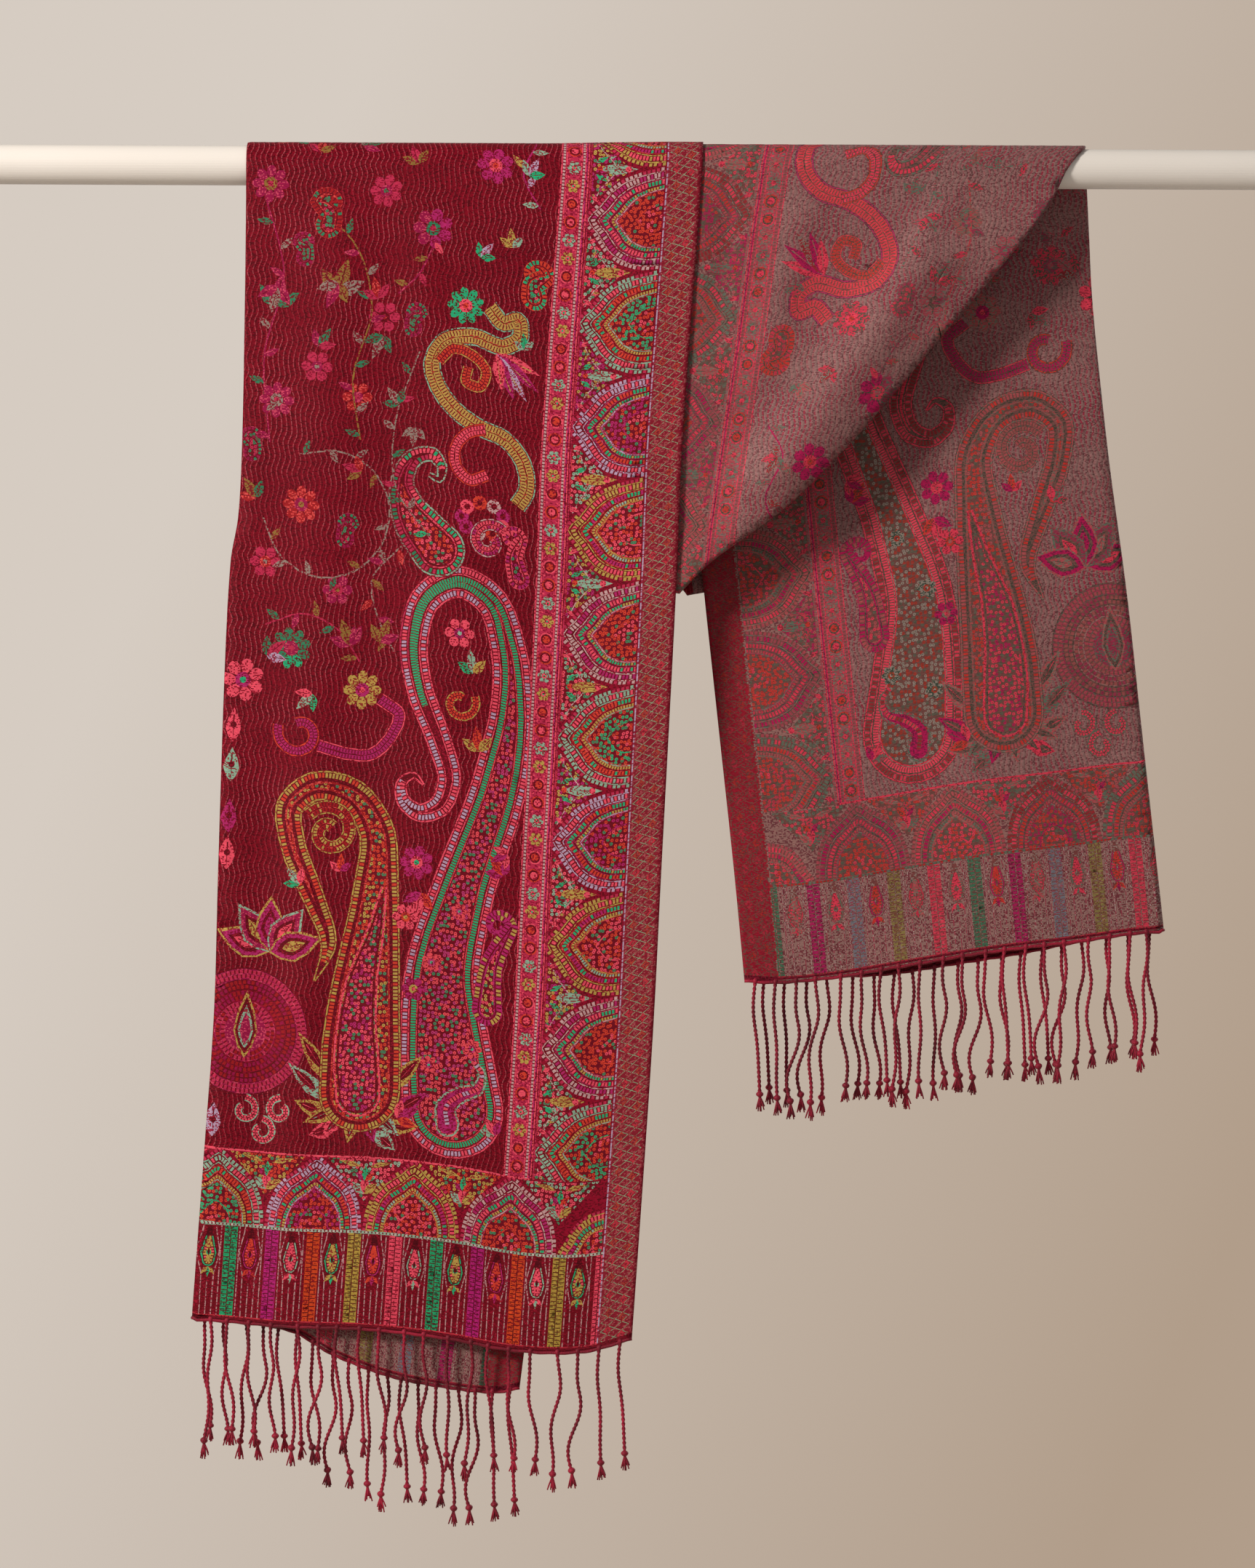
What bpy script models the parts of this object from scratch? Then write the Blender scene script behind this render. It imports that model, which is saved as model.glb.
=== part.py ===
"""A fringed silk shawl, folded in half along its length and hung over a round rod.

The shawl is a strip 600 mm wide and 2 m long, folded lengthwise to half its width.
Its front fall hangs on the left with the fold at its left side. Its back fall hangs
on the right with the fold at its right side, and a flap of it is turned over the rod
to the front, where a diagonal fold carries it under the front fall.

Sizes are in millimetres. X runs along the rod, -Y is the front, +Z is up, and the
origin is the middle of the rod. A depth is a distance out from the rod's axis, to the
front or to the back, and a drop is a distance below the axis.
"""

import math
from bisect import bisect_right
from collections import namedtuple

import bmesh
import bpy
from mathutils import Vector

MM = 0.001

# The rod
ROD_DIAMETER = 28.0
ROD_LENGTH = 1050.0
ROD_SIDES = 48
ROD_EDGE = 1.0

# The cloth wall and how its layers lie on the rod
WALL = 1.0
ROD_GAP = 0.4
LAYER_GAP = 0.5
SEAM_GAP = 0.3
LEVEL_1 = ROD_DIAMETER / 2 + ROD_GAP + WALL / 2
LEVEL_2 = LEVEL_1 + WALL + LAYER_GAP
LEVEL_3 = LEVEL_2 + WALL + LAYER_GAP
TOP = -LEVEL_1

# Mesh divisions of one stretch of cloth
ROWS_ON_ROD = 6
OUTER_COLUMNS = 10
BEND_COLUMNS = 4
INNER_COLUMNS = 8
ALL_COLUMNS = OUTER_COLUMNS + BEND_COLUMNS + INNER_COLUMNS

# The fringe: a plain hem strip and its twisted tassels
STRIP_HEIGHT = 4.5
CORD_DIAMETER = 2.4
TUFT_SIZE = 2.1
ROOT_DEPTH = 2.2
SWAY = 4.5
SWAY_IN_DEPTH = 0.8

# A section across a stretch of cloth, one row for each drop. The outer layer runs from
# edge to fold, turns back at the fold, and the inner layer ends at inner_edge.
Section = namedtuple(
    "Section", "drop fold edge inner_edge edge_depth fold_depth inner_depth"
)

FRONT_SECTIONS = [
    Section(TOP, -270.5, 51.5, 13.0, LEVEL_3, LEVEL_2, LEVEL_1),
    Section(0, -270.5, 51.0, 12.5, LEVEL_3, LEVEL_2, LEVEL_1),
    Section(50, -270.6, 47.6, 7.7, 18.2, 16.6, LEVEL_1),
    Section(100, -271.0, 44.0, 3.0, 18.8, 17.0, 14.8),
    Section(200, -272.5, 37.3, -6.6, 20.0, 18.0, 14.6),
    Section(250, -275.0, 35.4, -11.4, 20.8, 18.5, 14.4),
    Section(280, -280.0, 34.4, -14.3, 21.0, 18.7, 14.3),
    Section(350, -283.7, 31.3, -20.9, 21.0, 19.0, 14.2),
    Section(500, -288.0, 24.0, -35.3, 20.5, 19.2, 13.8),
    Section(600, -290.5, 19.4, -44.8, 20.0, 19.3, 13.2),
    Section(700, -297.2, 13.3, -54.4, 20.0, 19.4, 12.5),
    Section(870, -309.0, 2.0, -75.0, 19.5, 19.5, 11.5),
]
REAR_FLAP_SECTIONS = [
    Section(TOP, -270.5, 51.5, 13.0, LEVEL_3, LEVEL_2, LEVEL_1),
    Section(0, -259.0, 52.0, 14.0, LEVEL_3, LEVEL_2, LEVEL_1),
    Section(40, -219.0, 53.5, 17.5, 18.0, 18.0, LEVEL_1),
    Section(80, -178.0, 55.0, 21.0, 18.1, 19.6, LEVEL_1),
    Section(120, -138.0, 56.5, 25.0, 18.3, 20.5, LEVEL_1),
    Section(200, -57.0, 60.0, 33.0, 18.8, 21.5, 14.8),
    Section(240, -16.0, 62.0, 37.5, 19.1, 21.0, 14.7),
    Section(270, 14.0, 63.5, 41.5, 19.3, 20.3, 14.6),
    Section(302, 42.0, 65.5, 46.5, 19.5, 19.5, 14.5),
]
TURNED_FLAP_SECTIONS = [
    Section(TOP, 322.0, 33.5, 22.0, LEVEL_2, LEVEL_2, LEVEL_1),
    Section(0, 309.0, 32.5, 22.0, LEVEL_2, 16.8, LEVEL_1),
    Section(20, 299.0, 30.0, 20.0, LEVEL_2, 17.6, LEVEL_1),
    Section(40, 286.0, 27.0, 18.0, 16.5, 18.6, LEVEL_1),
    Section(80, 254.0, 22.0, 14.0, 16.5, 21.0, LEVEL_1),
    Section(120, 220.0, 17.0, 10.0, 16.6, 22.5, 15.0),
    Section(160, 187.0, 11.5, 6.0, 16.7, 23.5, 15.0),
    Section(200, 152.0, 6.3, 2.0, 16.8, 24.0, 15.0),
    Section(240, 112.0, 1.0, -2.0, 17.0, 23.5, 15.0),
    Section(260, 85.5, -1.5, -4.0, 17.0, 22.0, 15.0),
    Section(280, 58.0, -4.0, -6.0, 17.0, 19.5, 15.0),
    Section(302, 36.0, -7.0, -8.0, 17.0, 17.8, 15.0),
]
BACK_SECTIONS = [
    Section(TOP, 322.0, 33.5, 22.0, LEVEL_2, LEVEL_2, LEVEL_1),
    Section(0, 323.8, 34.0, 22.0, LEVEL_2, LEVEL_2, LEVEL_1),
    Section(50, 326.6, 38.5, 27.3, 16.5, 16.8, 14.9),
    Section(100, 330.2, 43.0, 32.7, 16.6, 17.3, 14.8),
    Section(200, 341.2, 52.0, 43.3, 16.9, 18.0, 14.6),
    Section(300, 355.0, 62.0, 53.7, 17.3, 18.6, 14.2),
    Section(400, 366.4, 72.5, 64.9, 18.2, 19.2, 13.4),
    Section(500, 377.9, 83.0, 76.1, 19.0, 19.6, 12.6),
    Section(590, 388.0, 92.0, 85.0, 19.6, 19.6, 12.0),
]

# The lower edge of a stretch. Its share is 0 to 1 across the outer layer, from its edge
# to its fold, 1 to 2 round the fold, and 2 to 3 back across the inner layer.
Hem = namedtuple("Hem", "share drop")

FRONT_HEM = [
    Hem(0.0, 828.0),
    Hem(0.11, 837.4),
    Hem(0.27, 836.6),
    Hem(0.42, 828.6),
    Hem(0.6, 822.5),
    Hem(0.8, 820.5),
    Hem(1.0, 816.0),
    Hem(2.0, 816.0),
    Hem(2.28, 824.0),
    Hem(2.42, 841.0),
    Hem(2.6, 856.0),
    Hem(2.8, 864.5),
    Hem(2.93, 867.0),
    Hem(3.0, 864.0),
]
BACK_HEM = [
    Hem(0.0, 574.0),
    Hem(0.3, 572.5),
    Hem(0.5, 564.0),
    Hem(0.66, 556.5),
    Hem(0.8, 548.5),
    Hem(1.0, 541.0),
    Hem(2.0, 541.0),
    Hem(2.2, 548.0),
    Hem(2.42, 556.0),
    Hem(2.64, 567.0),
    Hem(2.78, 574.0),
    Hem(2.92, 578.0),
    Hem(3.0, 577.0),
]
FLAP_HEM = [Hem(0.0, 298.0), Hem(1.0, 302.0), Hem(2.0, 302.0), Hem(3.0, 300.0)]

# A soft ridge, or a trough where its height is negative, from its top to its bottom
Crease = namedtuple("Crease", "top_x top_drop bottom_x bottom_drop half_width height")
CREASE_FADE = 45.0

FRONT_CREASES = [
    Crease(-205.0, 20.0, -222.0, 520.0, 26.0, 2.2),
    Crease(-120.0, 240.0, -165.0, 800.0, 34.0, 2.0),
    Crease(-60.0, 60.0, -75.0, 420.0, 24.0, -1.0),
    Crease(-30.0, 430.0, -55.0, 830.0, 20.0, 1.8),
]
TURNED_FLAP_CREASES = [
    Crease(215.0, 70.0, 96.0, 228.0, 24.0, 5.0),
    Crease(92.0, 170.0, 66.0, 250.0, 13.0, -1.5),
]
BACK_CREASES = [
    Crease(303.0, 12.0, 330.0, 130.0, 9.0, 2.2),
    Crease(190.0, 200.0, 215.0, 540.0, 34.0, 1.8),
    Crease(300.0, 260.0, 330.0, 520.0, 24.0, 1.4),
]
REAR_FLAP_CREASES = [Crease(-120.0, 60.0, -10.0, 190.0, 24.0, 3.0)]

# A stretch of cloth: outward is -1 in front of the rod and 1 behind it, and its outer
# layer passes from edge_depth to fold_depth between two shares of its width.
Stretch = namedtuple(
    "Stretch", "name sections hem creases outward turn_from turn_to rows tassels"
)
STRETCHES = [
    Stretch("front_fall", FRONT_SECTIONS, FRONT_HEM, FRONT_CREASES, -1, 0.07, 0.26, 22, True),
    Stretch("rear_flap", REAR_FLAP_SECTIONS, FLAP_HEM, REAR_FLAP_CREASES, 1, 0.07, 0.4, 12, False),
    Stretch("turned_flap", TURNED_FLAP_SECTIONS, FLAP_HEM, TURNED_FLAP_CREASES, -1, 0.35, 1, 14, False),
    Stretch("back_fall", BACK_SECTIONS, BACK_HEM, BACK_CREASES, 1, 0.35, 1, 16, True),
]

# The hem strip and the tassels along one layer of a stretch. The tassels are spread over
# the shares between first and last, and the strip goes on a little way round the fold.
Fringe = namedtuple("Fringe", "name stretch first last tassels length")
FRINGES = [
    Fringe("fringe_front_outer", "front_fall", 0, 1, 20, 91.0),
    Fringe("fringe_front_inner", "front_fall", 3, 2, 18, 90.0),
    Fringe("fringe_back_outer", "back_fall", 0, 1, 19, 92.0),
    Fringe("fringe_back_inner", "back_fall", 3, 2, 20, 93.0),
]

# A tassel's points: how far along its length each is, and its thickness there
TasselPoint = namedtuple("TasselPoint", "along thickness")
TASSEL_POINTS = [
    TasselPoint(0.0, 1.0),
    TasselPoint(0.3, 1.0),
    TasselPoint(0.6, 1.0),
    TasselPoint(0.86, 1.0),
    TasselPoint(0.91, TUFT_SIZE),
    TasselPoint(1.0, TUFT_SIZE * 0.85),
]

CRIMSON = (0.225, 0.006, 0.018)
REVERSE_ROSE = (0.29, 0.035, 0.048)
MAROON = (0.16, 0.004, 0.014)
CREAM_PAINT = (0.74, 0.70, 0.62)


def clear_scene():
    for thing in list(bpy.data.objects):
        bpy.data.objects.remove(thing, do_unlink=True)


def new_collection(name):
    collection = bpy.data.collections.new(name)
    bpy.context.scene.collection.children.link(collection)
    return collection


def principled(name, color, roughness, metallic=0.0):
    material = bpy.data.materials.new(name)
    material.use_nodes = True
    shader = material.node_tree.nodes["Principled BSDF"]
    shader.inputs["Base Color"].default_value = (*color, 1.0)
    shader.inputs["Roughness"].default_value = roughness
    shader.inputs["Metallic"].default_value = metallic
    return material


def place(name, mesh, collection, material):
    thing = bpy.data.objects.new(name, mesh)
    collection.objects.link(thing)
    mesh.materials.clear()
    mesh.materials.append(material)
    return thing


def smoothstep(value):
    value = min(max(value, 0.0), 1.0)
    return value * value * (3 - 2 * value)


def read(table, column, at):
    """One column of a table as a smooth curve through its rows, read at a place."""
    places = [row[0] for row in table]
    values = [getattr(row, column) for row in table]
    last = len(places) - 1
    at = min(max(at, places[0]), places[last])
    row = min(bisect_right(places, at), last) - 1

    def slope(index):
        low = max(index - 1, 0)
        high = min(index + 1, last)
        return (values[high] - values[low]) / (places[high] - places[low])

    step = places[row + 1] - places[row]
    t = (at - places[row]) / step
    start = (1 + 2 * t) * (1 - t) ** 2 * values[row] + t * (1 - t) ** 2 * step * slope(row)
    end = t * t * (3 - 2 * t) * values[row + 1] - t * t * (1 - t) * step * slope(row + 1)
    return start + end


def relief(creases, x, drop):
    """How far the creases move the cloth out at a place."""
    height = 0.0
    for crease in creases:
        run = crease.bottom_drop - crease.top_drop
        share = min(max((drop - crease.top_drop) / run, 0.0), 1.0)
        middle = crease.top_x + share * (crease.bottom_x - crease.top_x)
        fade_in = smoothstep((drop - crease.top_drop + CREASE_FADE / 2) / CREASE_FADE)
        fade_out = smoothstep((crease.bottom_drop + CREASE_FADE / 2 - drop) / CREASE_FADE)
        across = math.exp(-(((x - middle) / crease.half_width) ** 2))
        height += crease.height * across * fade_in * fade_out
    return height


def section_place(stretch, share, drop):
    """Where a share of the section lies at a drop: its x and its depth."""
    fold, edge, inner_edge, edge_depth, fold_depth, inner_depth = (
        read(stretch.sections, column, drop) for column in Section._fields[1:]
    )
    toward = math.copysign(1.0, fold - edge)
    bend = (fold_depth - inner_depth) / 2
    straight_end = fold - toward * bend
    if share <= 1:
        x = edge + share * (straight_end - edge)
        width = stretch.turn_to - stretch.turn_from
        turned = smoothstep((share - stretch.turn_from) / width)
        depth = edge_depth + turned * (fold_depth - edge_depth)
    elif share <= 2:
        angle = (share - 1) * math.pi
        x = straight_end + toward * bend * math.sin(angle)
        depth = inner_depth + bend * (1 + math.cos(angle))
    else:
        x = straight_end + (share - 2) * (inner_edge - straight_end)
        depth = inner_depth
    if drop > 0:
        depth += relief(stretch.creases, x, drop) * smoothstep(drop / CREASE_FADE)
    return x, depth


def point_on_rod(stretch, share, angle):
    """A point over the rod: angle 0 at its top, a quarter turn where the fall begins."""
    x, depth = section_place(stretch, share, TOP * math.cos(angle))
    seam = SEAM_GAP / 2 * math.cos(angle)
    y = stretch.outward * (depth * math.sin(angle) + seam)
    return Vector((x, y, depth * math.cos(angle))) * MM


def point_on_fall(stretch, share, drop):
    """A point of the hanging cloth at a drop below the rod's axis."""
    x, depth = section_place(stretch, share, drop)
    return Vector((x, stretch.outward * depth, -drop)) * MM


def share_of_column(column):
    """The share of the section at a column of the stretch's mesh."""
    if column <= OUTER_COLUMNS:
        return column / OUTER_COLUMNS
    if column <= OUTER_COLUMNS + BEND_COLUMNS:
        return 1 + (column - OUTER_COLUMNS) / BEND_COLUMNS
    return 2 + (column - OUTER_COLUMNS - BEND_COLUMNS) / INNER_COLUMNS


def sheet_mesh(name, columns, rows, point_at):
    """An open grid whose vertex at each column and row lies where point_at says."""
    mesh = bpy.data.meshes.new(name)
    sheet = bmesh.new()
    bmesh.ops.create_grid(sheet, x_segments=columns, y_segments=rows, size=0.5)
    for vertex in sheet.verts:
        column = round((vertex.co.x + 0.5) * columns)
        row = round((vertex.co.y + 0.5) * rows)
        vertex.co = point_at(column, row)
    sheet.to_mesh(mesh)
    sheet.free()
    return mesh


def give_wall(thing):
    wall = thing.modifiers.new("wall", "SOLIDIFY")
    wall.thickness = WALL * MM
    wall.offset = 0.0
    wall.use_even_offset = True


def build_stretch(stretch, collection, material):
    """One stretch of the folded cloth, from the rod's top line to its lower edge."""
    hem_strip = STRIP_HEIGHT + SEAM_GAP if stretch.tassels else 0.0

    def point_at(column, row):
        share = share_of_column(column)
        if row < ROWS_ON_ROD:
            return point_on_rod(stretch, share, math.pi / 2 * row / ROWS_ON_ROD)
        lowest = read(stretch.hem, "drop", share) - hem_strip
        return point_on_fall(stretch, share, lowest * (row - ROWS_ON_ROD) / stretch.rows)

    mesh = sheet_mesh(stretch.name, ALL_COLUMNS, ROWS_ON_ROD + stretch.rows, point_at)
    thing = place(stretch.name, mesh, collection, material)
    give_wall(thing)
    mesh.shade_smooth()
    return thing


def uneven(number, kind):
    """A value from -1 to 1 that differs from tassel to tassel."""
    return math.sin(7.3 * number + 2.9 * kind + 1.1 * math.sin(3.7 * number))


def tassel_curve(fringe, stretch, number, cutters):
    """One twisted tassel, rooted in its hem strip and knotted near its end."""
    spacing = (fringe.last - fringe.first) / fringe.tassels
    share = fringe.first + spacing * (number + 0.5 + 0.12 * uneven(number, 1))
    hem = read(stretch.hem, "drop", share)
    root = point_on_fall(stretch, share, hem - ROOT_DEPTH)
    length = fringe.length * (1 + 0.06 * uneven(number, 2)) + ROOT_DEPTH
    lean = SWAY * uneven(number, 3)
    curl = SWAY * 0.4 * uneven(number, 4)
    in_depth = SWAY_IN_DEPTH * uneven(number, 5)

    curve = bpy.data.curves.new(f"{fringe.name}_tassel_{number}", "CURVE")
    curve.dimensions = "3D"
    curve.bevel_depth = CORD_DIAMETER / 2 * MM
    curve.bevel_resolution = 0
    curve.use_fill_caps = True
    spline = curve.splines.new("POLY")
    spline.points.add(len(TASSEL_POINTS) - 1)
    for spline_point, place_on in zip(spline.points, TASSEL_POINTS):
        along = place_on.along
        aside = lean * along**1.5 + curl * math.sin(2 * math.pi * along)
        offset = Vector((aside, in_depth * along, -length * along)) * MM
        spline_point.co = (*(root + offset), 1.0)
        spline_point.radius = place_on.thickness
    thing = bpy.data.objects.new(curve.name, curve)
    cutters.objects.link(thing)
    return thing


def tassels_mesh(fringe, stretch, cutters):
    """All tassels of a fringe in one mesh, each with its caps welded."""
    whole = bmesh.new()
    for number in range(fringe.tassels):
        thing = tassel_curve(fringe, stretch, number, cutters)
        graph = bpy.context.evaluated_depsgraph_get()
        mesh = bpy.data.meshes.new_from_object(thing.evaluated_get(graph))
        curve = thing.data
        whole.from_mesh(mesh)
        bpy.data.objects.remove(thing)
        bpy.data.curves.remove(curve)
        bpy.data.meshes.remove(mesh)
    bmesh.ops.remove_doubles(whole, verts=whole.verts, dist=1e-6)
    bmesh.ops.recalc_face_normals(whole, faces=whole.faces)
    mesh = bpy.data.meshes.new(fringe.name + "_tassels")
    whole.to_mesh(mesh)
    whole.free()
    return mesh


def build_fringe(fringe, collection, cutters, material):
    """A narrow hem strip parted from the cloth's lower edge, with its tassels."""
    stretch = next(one for one in STRETCHES if one.name == fringe.stretch)

    if fringe.last == 1:
        first_column, columns = 0, OUTER_COLUMNS + 1
    else:
        first_column, columns = OUTER_COLUMNS + BEND_COLUMNS - 1, INNER_COLUMNS + 1

    def point_at(column, row):
        share = share_of_column(first_column + column)
        lowest = read(stretch.hem, "drop", share)
        return point_on_fall(stretch, share, lowest - STRIP_HEIGHT * (1 - row))

    mesh = sheet_mesh(fringe.name, columns, 1, point_at)
    strip = place(fringe.name, mesh, collection, material)
    give_wall(strip)
    tassels = place(
        fringe.name + "_tassels", tassels_mesh(fringe, stretch, cutters), cutters, material
    )
    tassels.hide_render = True
    tassels.display_type = "WIRE"
    union = strip.modifiers.new("tassels", "BOOLEAN")
    union.operation = "UNION"
    union.solver = "EXACT"
    union.object = tassels
    return strip


def build_rod(collection, material):
    """The plain painted rod that the shawl hangs over, along X."""
    mesh = bpy.data.meshes.new("rod")
    rod = bmesh.new()
    bmesh.ops.create_cone(
        rod,
        cap_ends=True,
        segments=ROD_SIDES,
        radius1=ROD_DIAMETER / 2 * MM,
        radius2=ROD_DIAMETER / 2 * MM,
        depth=ROD_LENGTH * MM,
    )
    rod.to_mesh(mesh)
    rod.free()
    thing = place("rod", mesh, collection, material)
    thing.rotation_euler = (0, math.pi / 2, 0)
    edge = thing.modifiers.new("softened_ends", "BEVEL")
    edge.width = ROD_EDGE * MM
    edge.segments = 1
    edge.limit_method = "ANGLE"
    mesh.shade_smooth()
    mesh.set_sharp_from_angle(angle=math.radians(30))
    return thing


def main():
    clear_scene()
    parts = new_collection("silk_shawl_on_rod")
    cutters = new_collection("cutters")
    crimson_silk = principled("crimson_jacquard_silk", CRIMSON, 0.5)
    reverse_silk = principled("rose_reverse_silk", REVERSE_ROSE, 0.55)
    maroon_silk = principled("maroon_twisted_silk", MAROON, 0.6)
    cream_paint = principled("cream_satin_paint", CREAM_PAINT, 0.35)
    materials = {
        "front_fall": crimson_silk,
        "rear_flap": crimson_silk,
        "turned_flap": reverse_silk,
        "back_fall": reverse_silk,
    }
    build_rod(parts, cream_paint)
    for stretch in STRETCHES:
        build_stretch(stretch, parts, materials[stretch.name])
    for fringe in FRINGES:
        build_fringe(fringe, parts, cutters, maroon_silk)


main()
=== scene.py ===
"""Looks for a fringed silk shawl, folded lengthwise and hung over a round painted rod.

Each layer of cloth is one thin sheet lying on the layer's solid. Its brocade is drawn in
millimetres on the flat cloth, as figures of coloured yarn laid over one another, and the
sheet's faces are cut along those figures. Rows of beads and fields of small flowers are
drawn by the silk's material inside their figures. A place on the flat cloth is (in, up): in
from the outer selvedge towards the lengthwise fold, and up from the fringed hem.
"""

import math
from collections import namedtuple

import bmesh
import bpy
import numpy as np
from mathutils import Matrix, Vector
from mathutils.geometry import delaunay_2d_cdt


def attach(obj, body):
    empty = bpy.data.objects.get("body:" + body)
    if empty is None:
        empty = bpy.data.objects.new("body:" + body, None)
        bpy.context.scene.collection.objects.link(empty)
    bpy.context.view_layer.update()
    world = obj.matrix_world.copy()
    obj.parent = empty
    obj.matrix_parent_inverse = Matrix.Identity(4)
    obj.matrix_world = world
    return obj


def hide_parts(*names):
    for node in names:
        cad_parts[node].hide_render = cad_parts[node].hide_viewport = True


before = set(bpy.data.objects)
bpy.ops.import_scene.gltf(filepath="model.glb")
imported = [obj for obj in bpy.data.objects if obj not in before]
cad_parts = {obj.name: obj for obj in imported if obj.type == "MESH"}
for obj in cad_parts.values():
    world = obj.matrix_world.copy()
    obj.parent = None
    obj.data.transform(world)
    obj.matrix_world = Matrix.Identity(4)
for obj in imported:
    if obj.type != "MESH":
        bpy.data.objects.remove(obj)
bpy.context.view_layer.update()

MM = 0.001

# How the cloth lies on the rod, as in the part's source, in millimetres
LEVEL_1 = 14.9
LEVEL_2 = 16.4
LEVEL_3 = 17.9
TOP = -LEVEL_1
CLOTH_THICKNESS = 0.5
ARC = 26.0
BEND = 3.0
CREASE_FADE = 45.0

# The photograph's frame
SHOT_DISTANCE = 3.5
SHOT_HEIGHT = 1.1103
SHOT_CENTRE = -0.4367
SHOT_ROLL = 0.00455

Section = namedtuple(
    "Section", "drop fold edge inner_edge edge_depth fold_depth inner_depth"
)
Hem = namedtuple("Hem", "share drop")
Crease = namedtuple("Crease", "top_x top_drop bottom_x bottom_drop half_width height")
Stretch = namedtuple("Stretch", "name sections hem creases outward turn_from turn_to")
Fringe = namedtuple("Fringe", "name stretch first last tassels length")

FRONT_SECTIONS = [
    Section(TOP, -270.5, 51.5, 13.0, LEVEL_3, LEVEL_2, LEVEL_1),
    Section(0, -270.5, 51.0, 12.5, LEVEL_3, LEVEL_2, LEVEL_1),
    Section(50, -270.6, 47.6, 7.7, 18.2, 16.6, LEVEL_1),
    Section(100, -271.0, 44.0, 3.0, 18.8, 17.0, 14.8),
    Section(200, -272.5, 37.3, -6.6, 20.0, 18.0, 14.6),
    Section(250, -275.0, 35.4, -11.4, 20.8, 18.5, 14.4),
    Section(280, -280.0, 34.4, -14.3, 21.0, 18.7, 14.3),
    Section(350, -283.7, 31.3, -20.9, 21.0, 19.0, 14.2),
    Section(500, -288.0, 24.0, -35.3, 20.5, 19.2, 13.8),
    Section(600, -290.5, 19.4, -44.8, 20.0, 19.3, 13.2),
    Section(700, -297.2, 13.3, -54.4, 20.0, 19.4, 12.5),
    Section(870, -309.0, 2.0, -75.0, 19.5, 19.5, 11.5),
]
REAR_FLAP_SECTIONS = [
    Section(TOP, -270.5, 51.5, 13.0, LEVEL_3, LEVEL_2, LEVEL_1),
    Section(0, -259.0, 52.0, 14.0, LEVEL_3, LEVEL_2, LEVEL_1),
    Section(40, -219.0, 53.5, 17.5, 18.0, 18.0, LEVEL_1),
    Section(80, -178.0, 55.0, 21.0, 18.1, 19.6, LEVEL_1),
    Section(120, -138.0, 56.5, 25.0, 18.3, 20.5, LEVEL_1),
    Section(200, -57.0, 60.0, 33.0, 18.8, 21.5, 14.8),
    Section(240, -16.0, 62.0, 37.5, 19.1, 21.0, 14.7),
    Section(270, 14.0, 63.5, 41.5, 19.3, 20.3, 14.6),
    Section(302, 42.0, 65.5, 46.5, 19.5, 19.5, 14.5),
]
TURNED_FLAP_SECTIONS = [
    Section(TOP, 322.0, 33.5, 22.0, LEVEL_2, LEVEL_2, LEVEL_1),
    Section(0, 309.0, 32.5, 22.0, LEVEL_2, 16.8, LEVEL_1),
    Section(20, 299.0, 30.0, 20.0, LEVEL_2, 17.6, LEVEL_1),
    Section(40, 286.0, 27.0, 18.0, 16.5, 18.6, LEVEL_1),
    Section(80, 254.0, 22.0, 14.0, 16.5, 21.0, LEVEL_1),
    Section(120, 220.0, 17.0, 10.0, 16.6, 22.5, 15.0),
    Section(160, 187.0, 11.5, 6.0, 16.7, 23.5, 15.0),
    Section(200, 152.0, 6.3, 2.0, 16.8, 24.0, 15.0),
    Section(240, 112.0, 1.0, -2.0, 17.0, 23.5, 15.0),
    Section(260, 85.5, -1.5, -4.0, 17.0, 22.0, 15.0),
    Section(280, 58.0, -4.0, -6.0, 17.0, 19.5, 15.0),
    Section(302, 36.0, -7.0, -8.0, 17.0, 17.8, 15.0),
]
BACK_SECTIONS = [
    Section(TOP, 322.0, 33.5, 22.0, LEVEL_2, LEVEL_2, LEVEL_1),
    Section(0, 323.8, 34.0, 22.0, LEVEL_2, LEVEL_2, LEVEL_1),
    Section(50, 326.6, 38.5, 27.3, 16.5, 16.8, 14.9),
    Section(100, 330.2, 43.0, 32.7, 16.6, 17.3, 14.8),
    Section(200, 341.2, 52.0, 43.3, 16.9, 18.0, 14.6),
    Section(300, 355.0, 62.0, 53.7, 17.3, 18.6, 14.2),
    Section(400, 366.4, 72.5, 64.9, 18.2, 19.2, 13.4),
    Section(500, 377.9, 83.0, 76.1, 19.0, 19.6, 12.6),
    Section(590, 388.0, 92.0, 85.0, 19.6, 19.6, 12.0),
]
FRONT_HEM = [
    Hem(0.0, 828.0),
    Hem(0.11, 837.4),
    Hem(0.27, 836.6),
    Hem(0.42, 828.6),
    Hem(0.6, 822.5),
    Hem(0.8, 820.5),
    Hem(1.0, 816.0),
    Hem(2.0, 816.0),
    Hem(2.28, 824.0),
    Hem(2.42, 841.0),
    Hem(2.6, 856.0),
    Hem(2.8, 864.5),
    Hem(2.93, 867.0),
    Hem(3.0, 864.0),
]
BACK_HEM = [
    Hem(0.0, 574.0),
    Hem(0.3, 572.5),
    Hem(0.5, 564.0),
    Hem(0.66, 556.5),
    Hem(0.8, 548.5),
    Hem(1.0, 541.0),
    Hem(2.0, 541.0),
    Hem(2.2, 548.0),
    Hem(2.42, 556.0),
    Hem(2.64, 567.0),
    Hem(2.78, 574.0),
    Hem(2.92, 578.0),
    Hem(3.0, 577.0),
]
FLAP_HEM = [Hem(0.0, 298.0), Hem(1.0, 302.0), Hem(2.0, 302.0), Hem(3.0, 300.0)]

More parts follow.
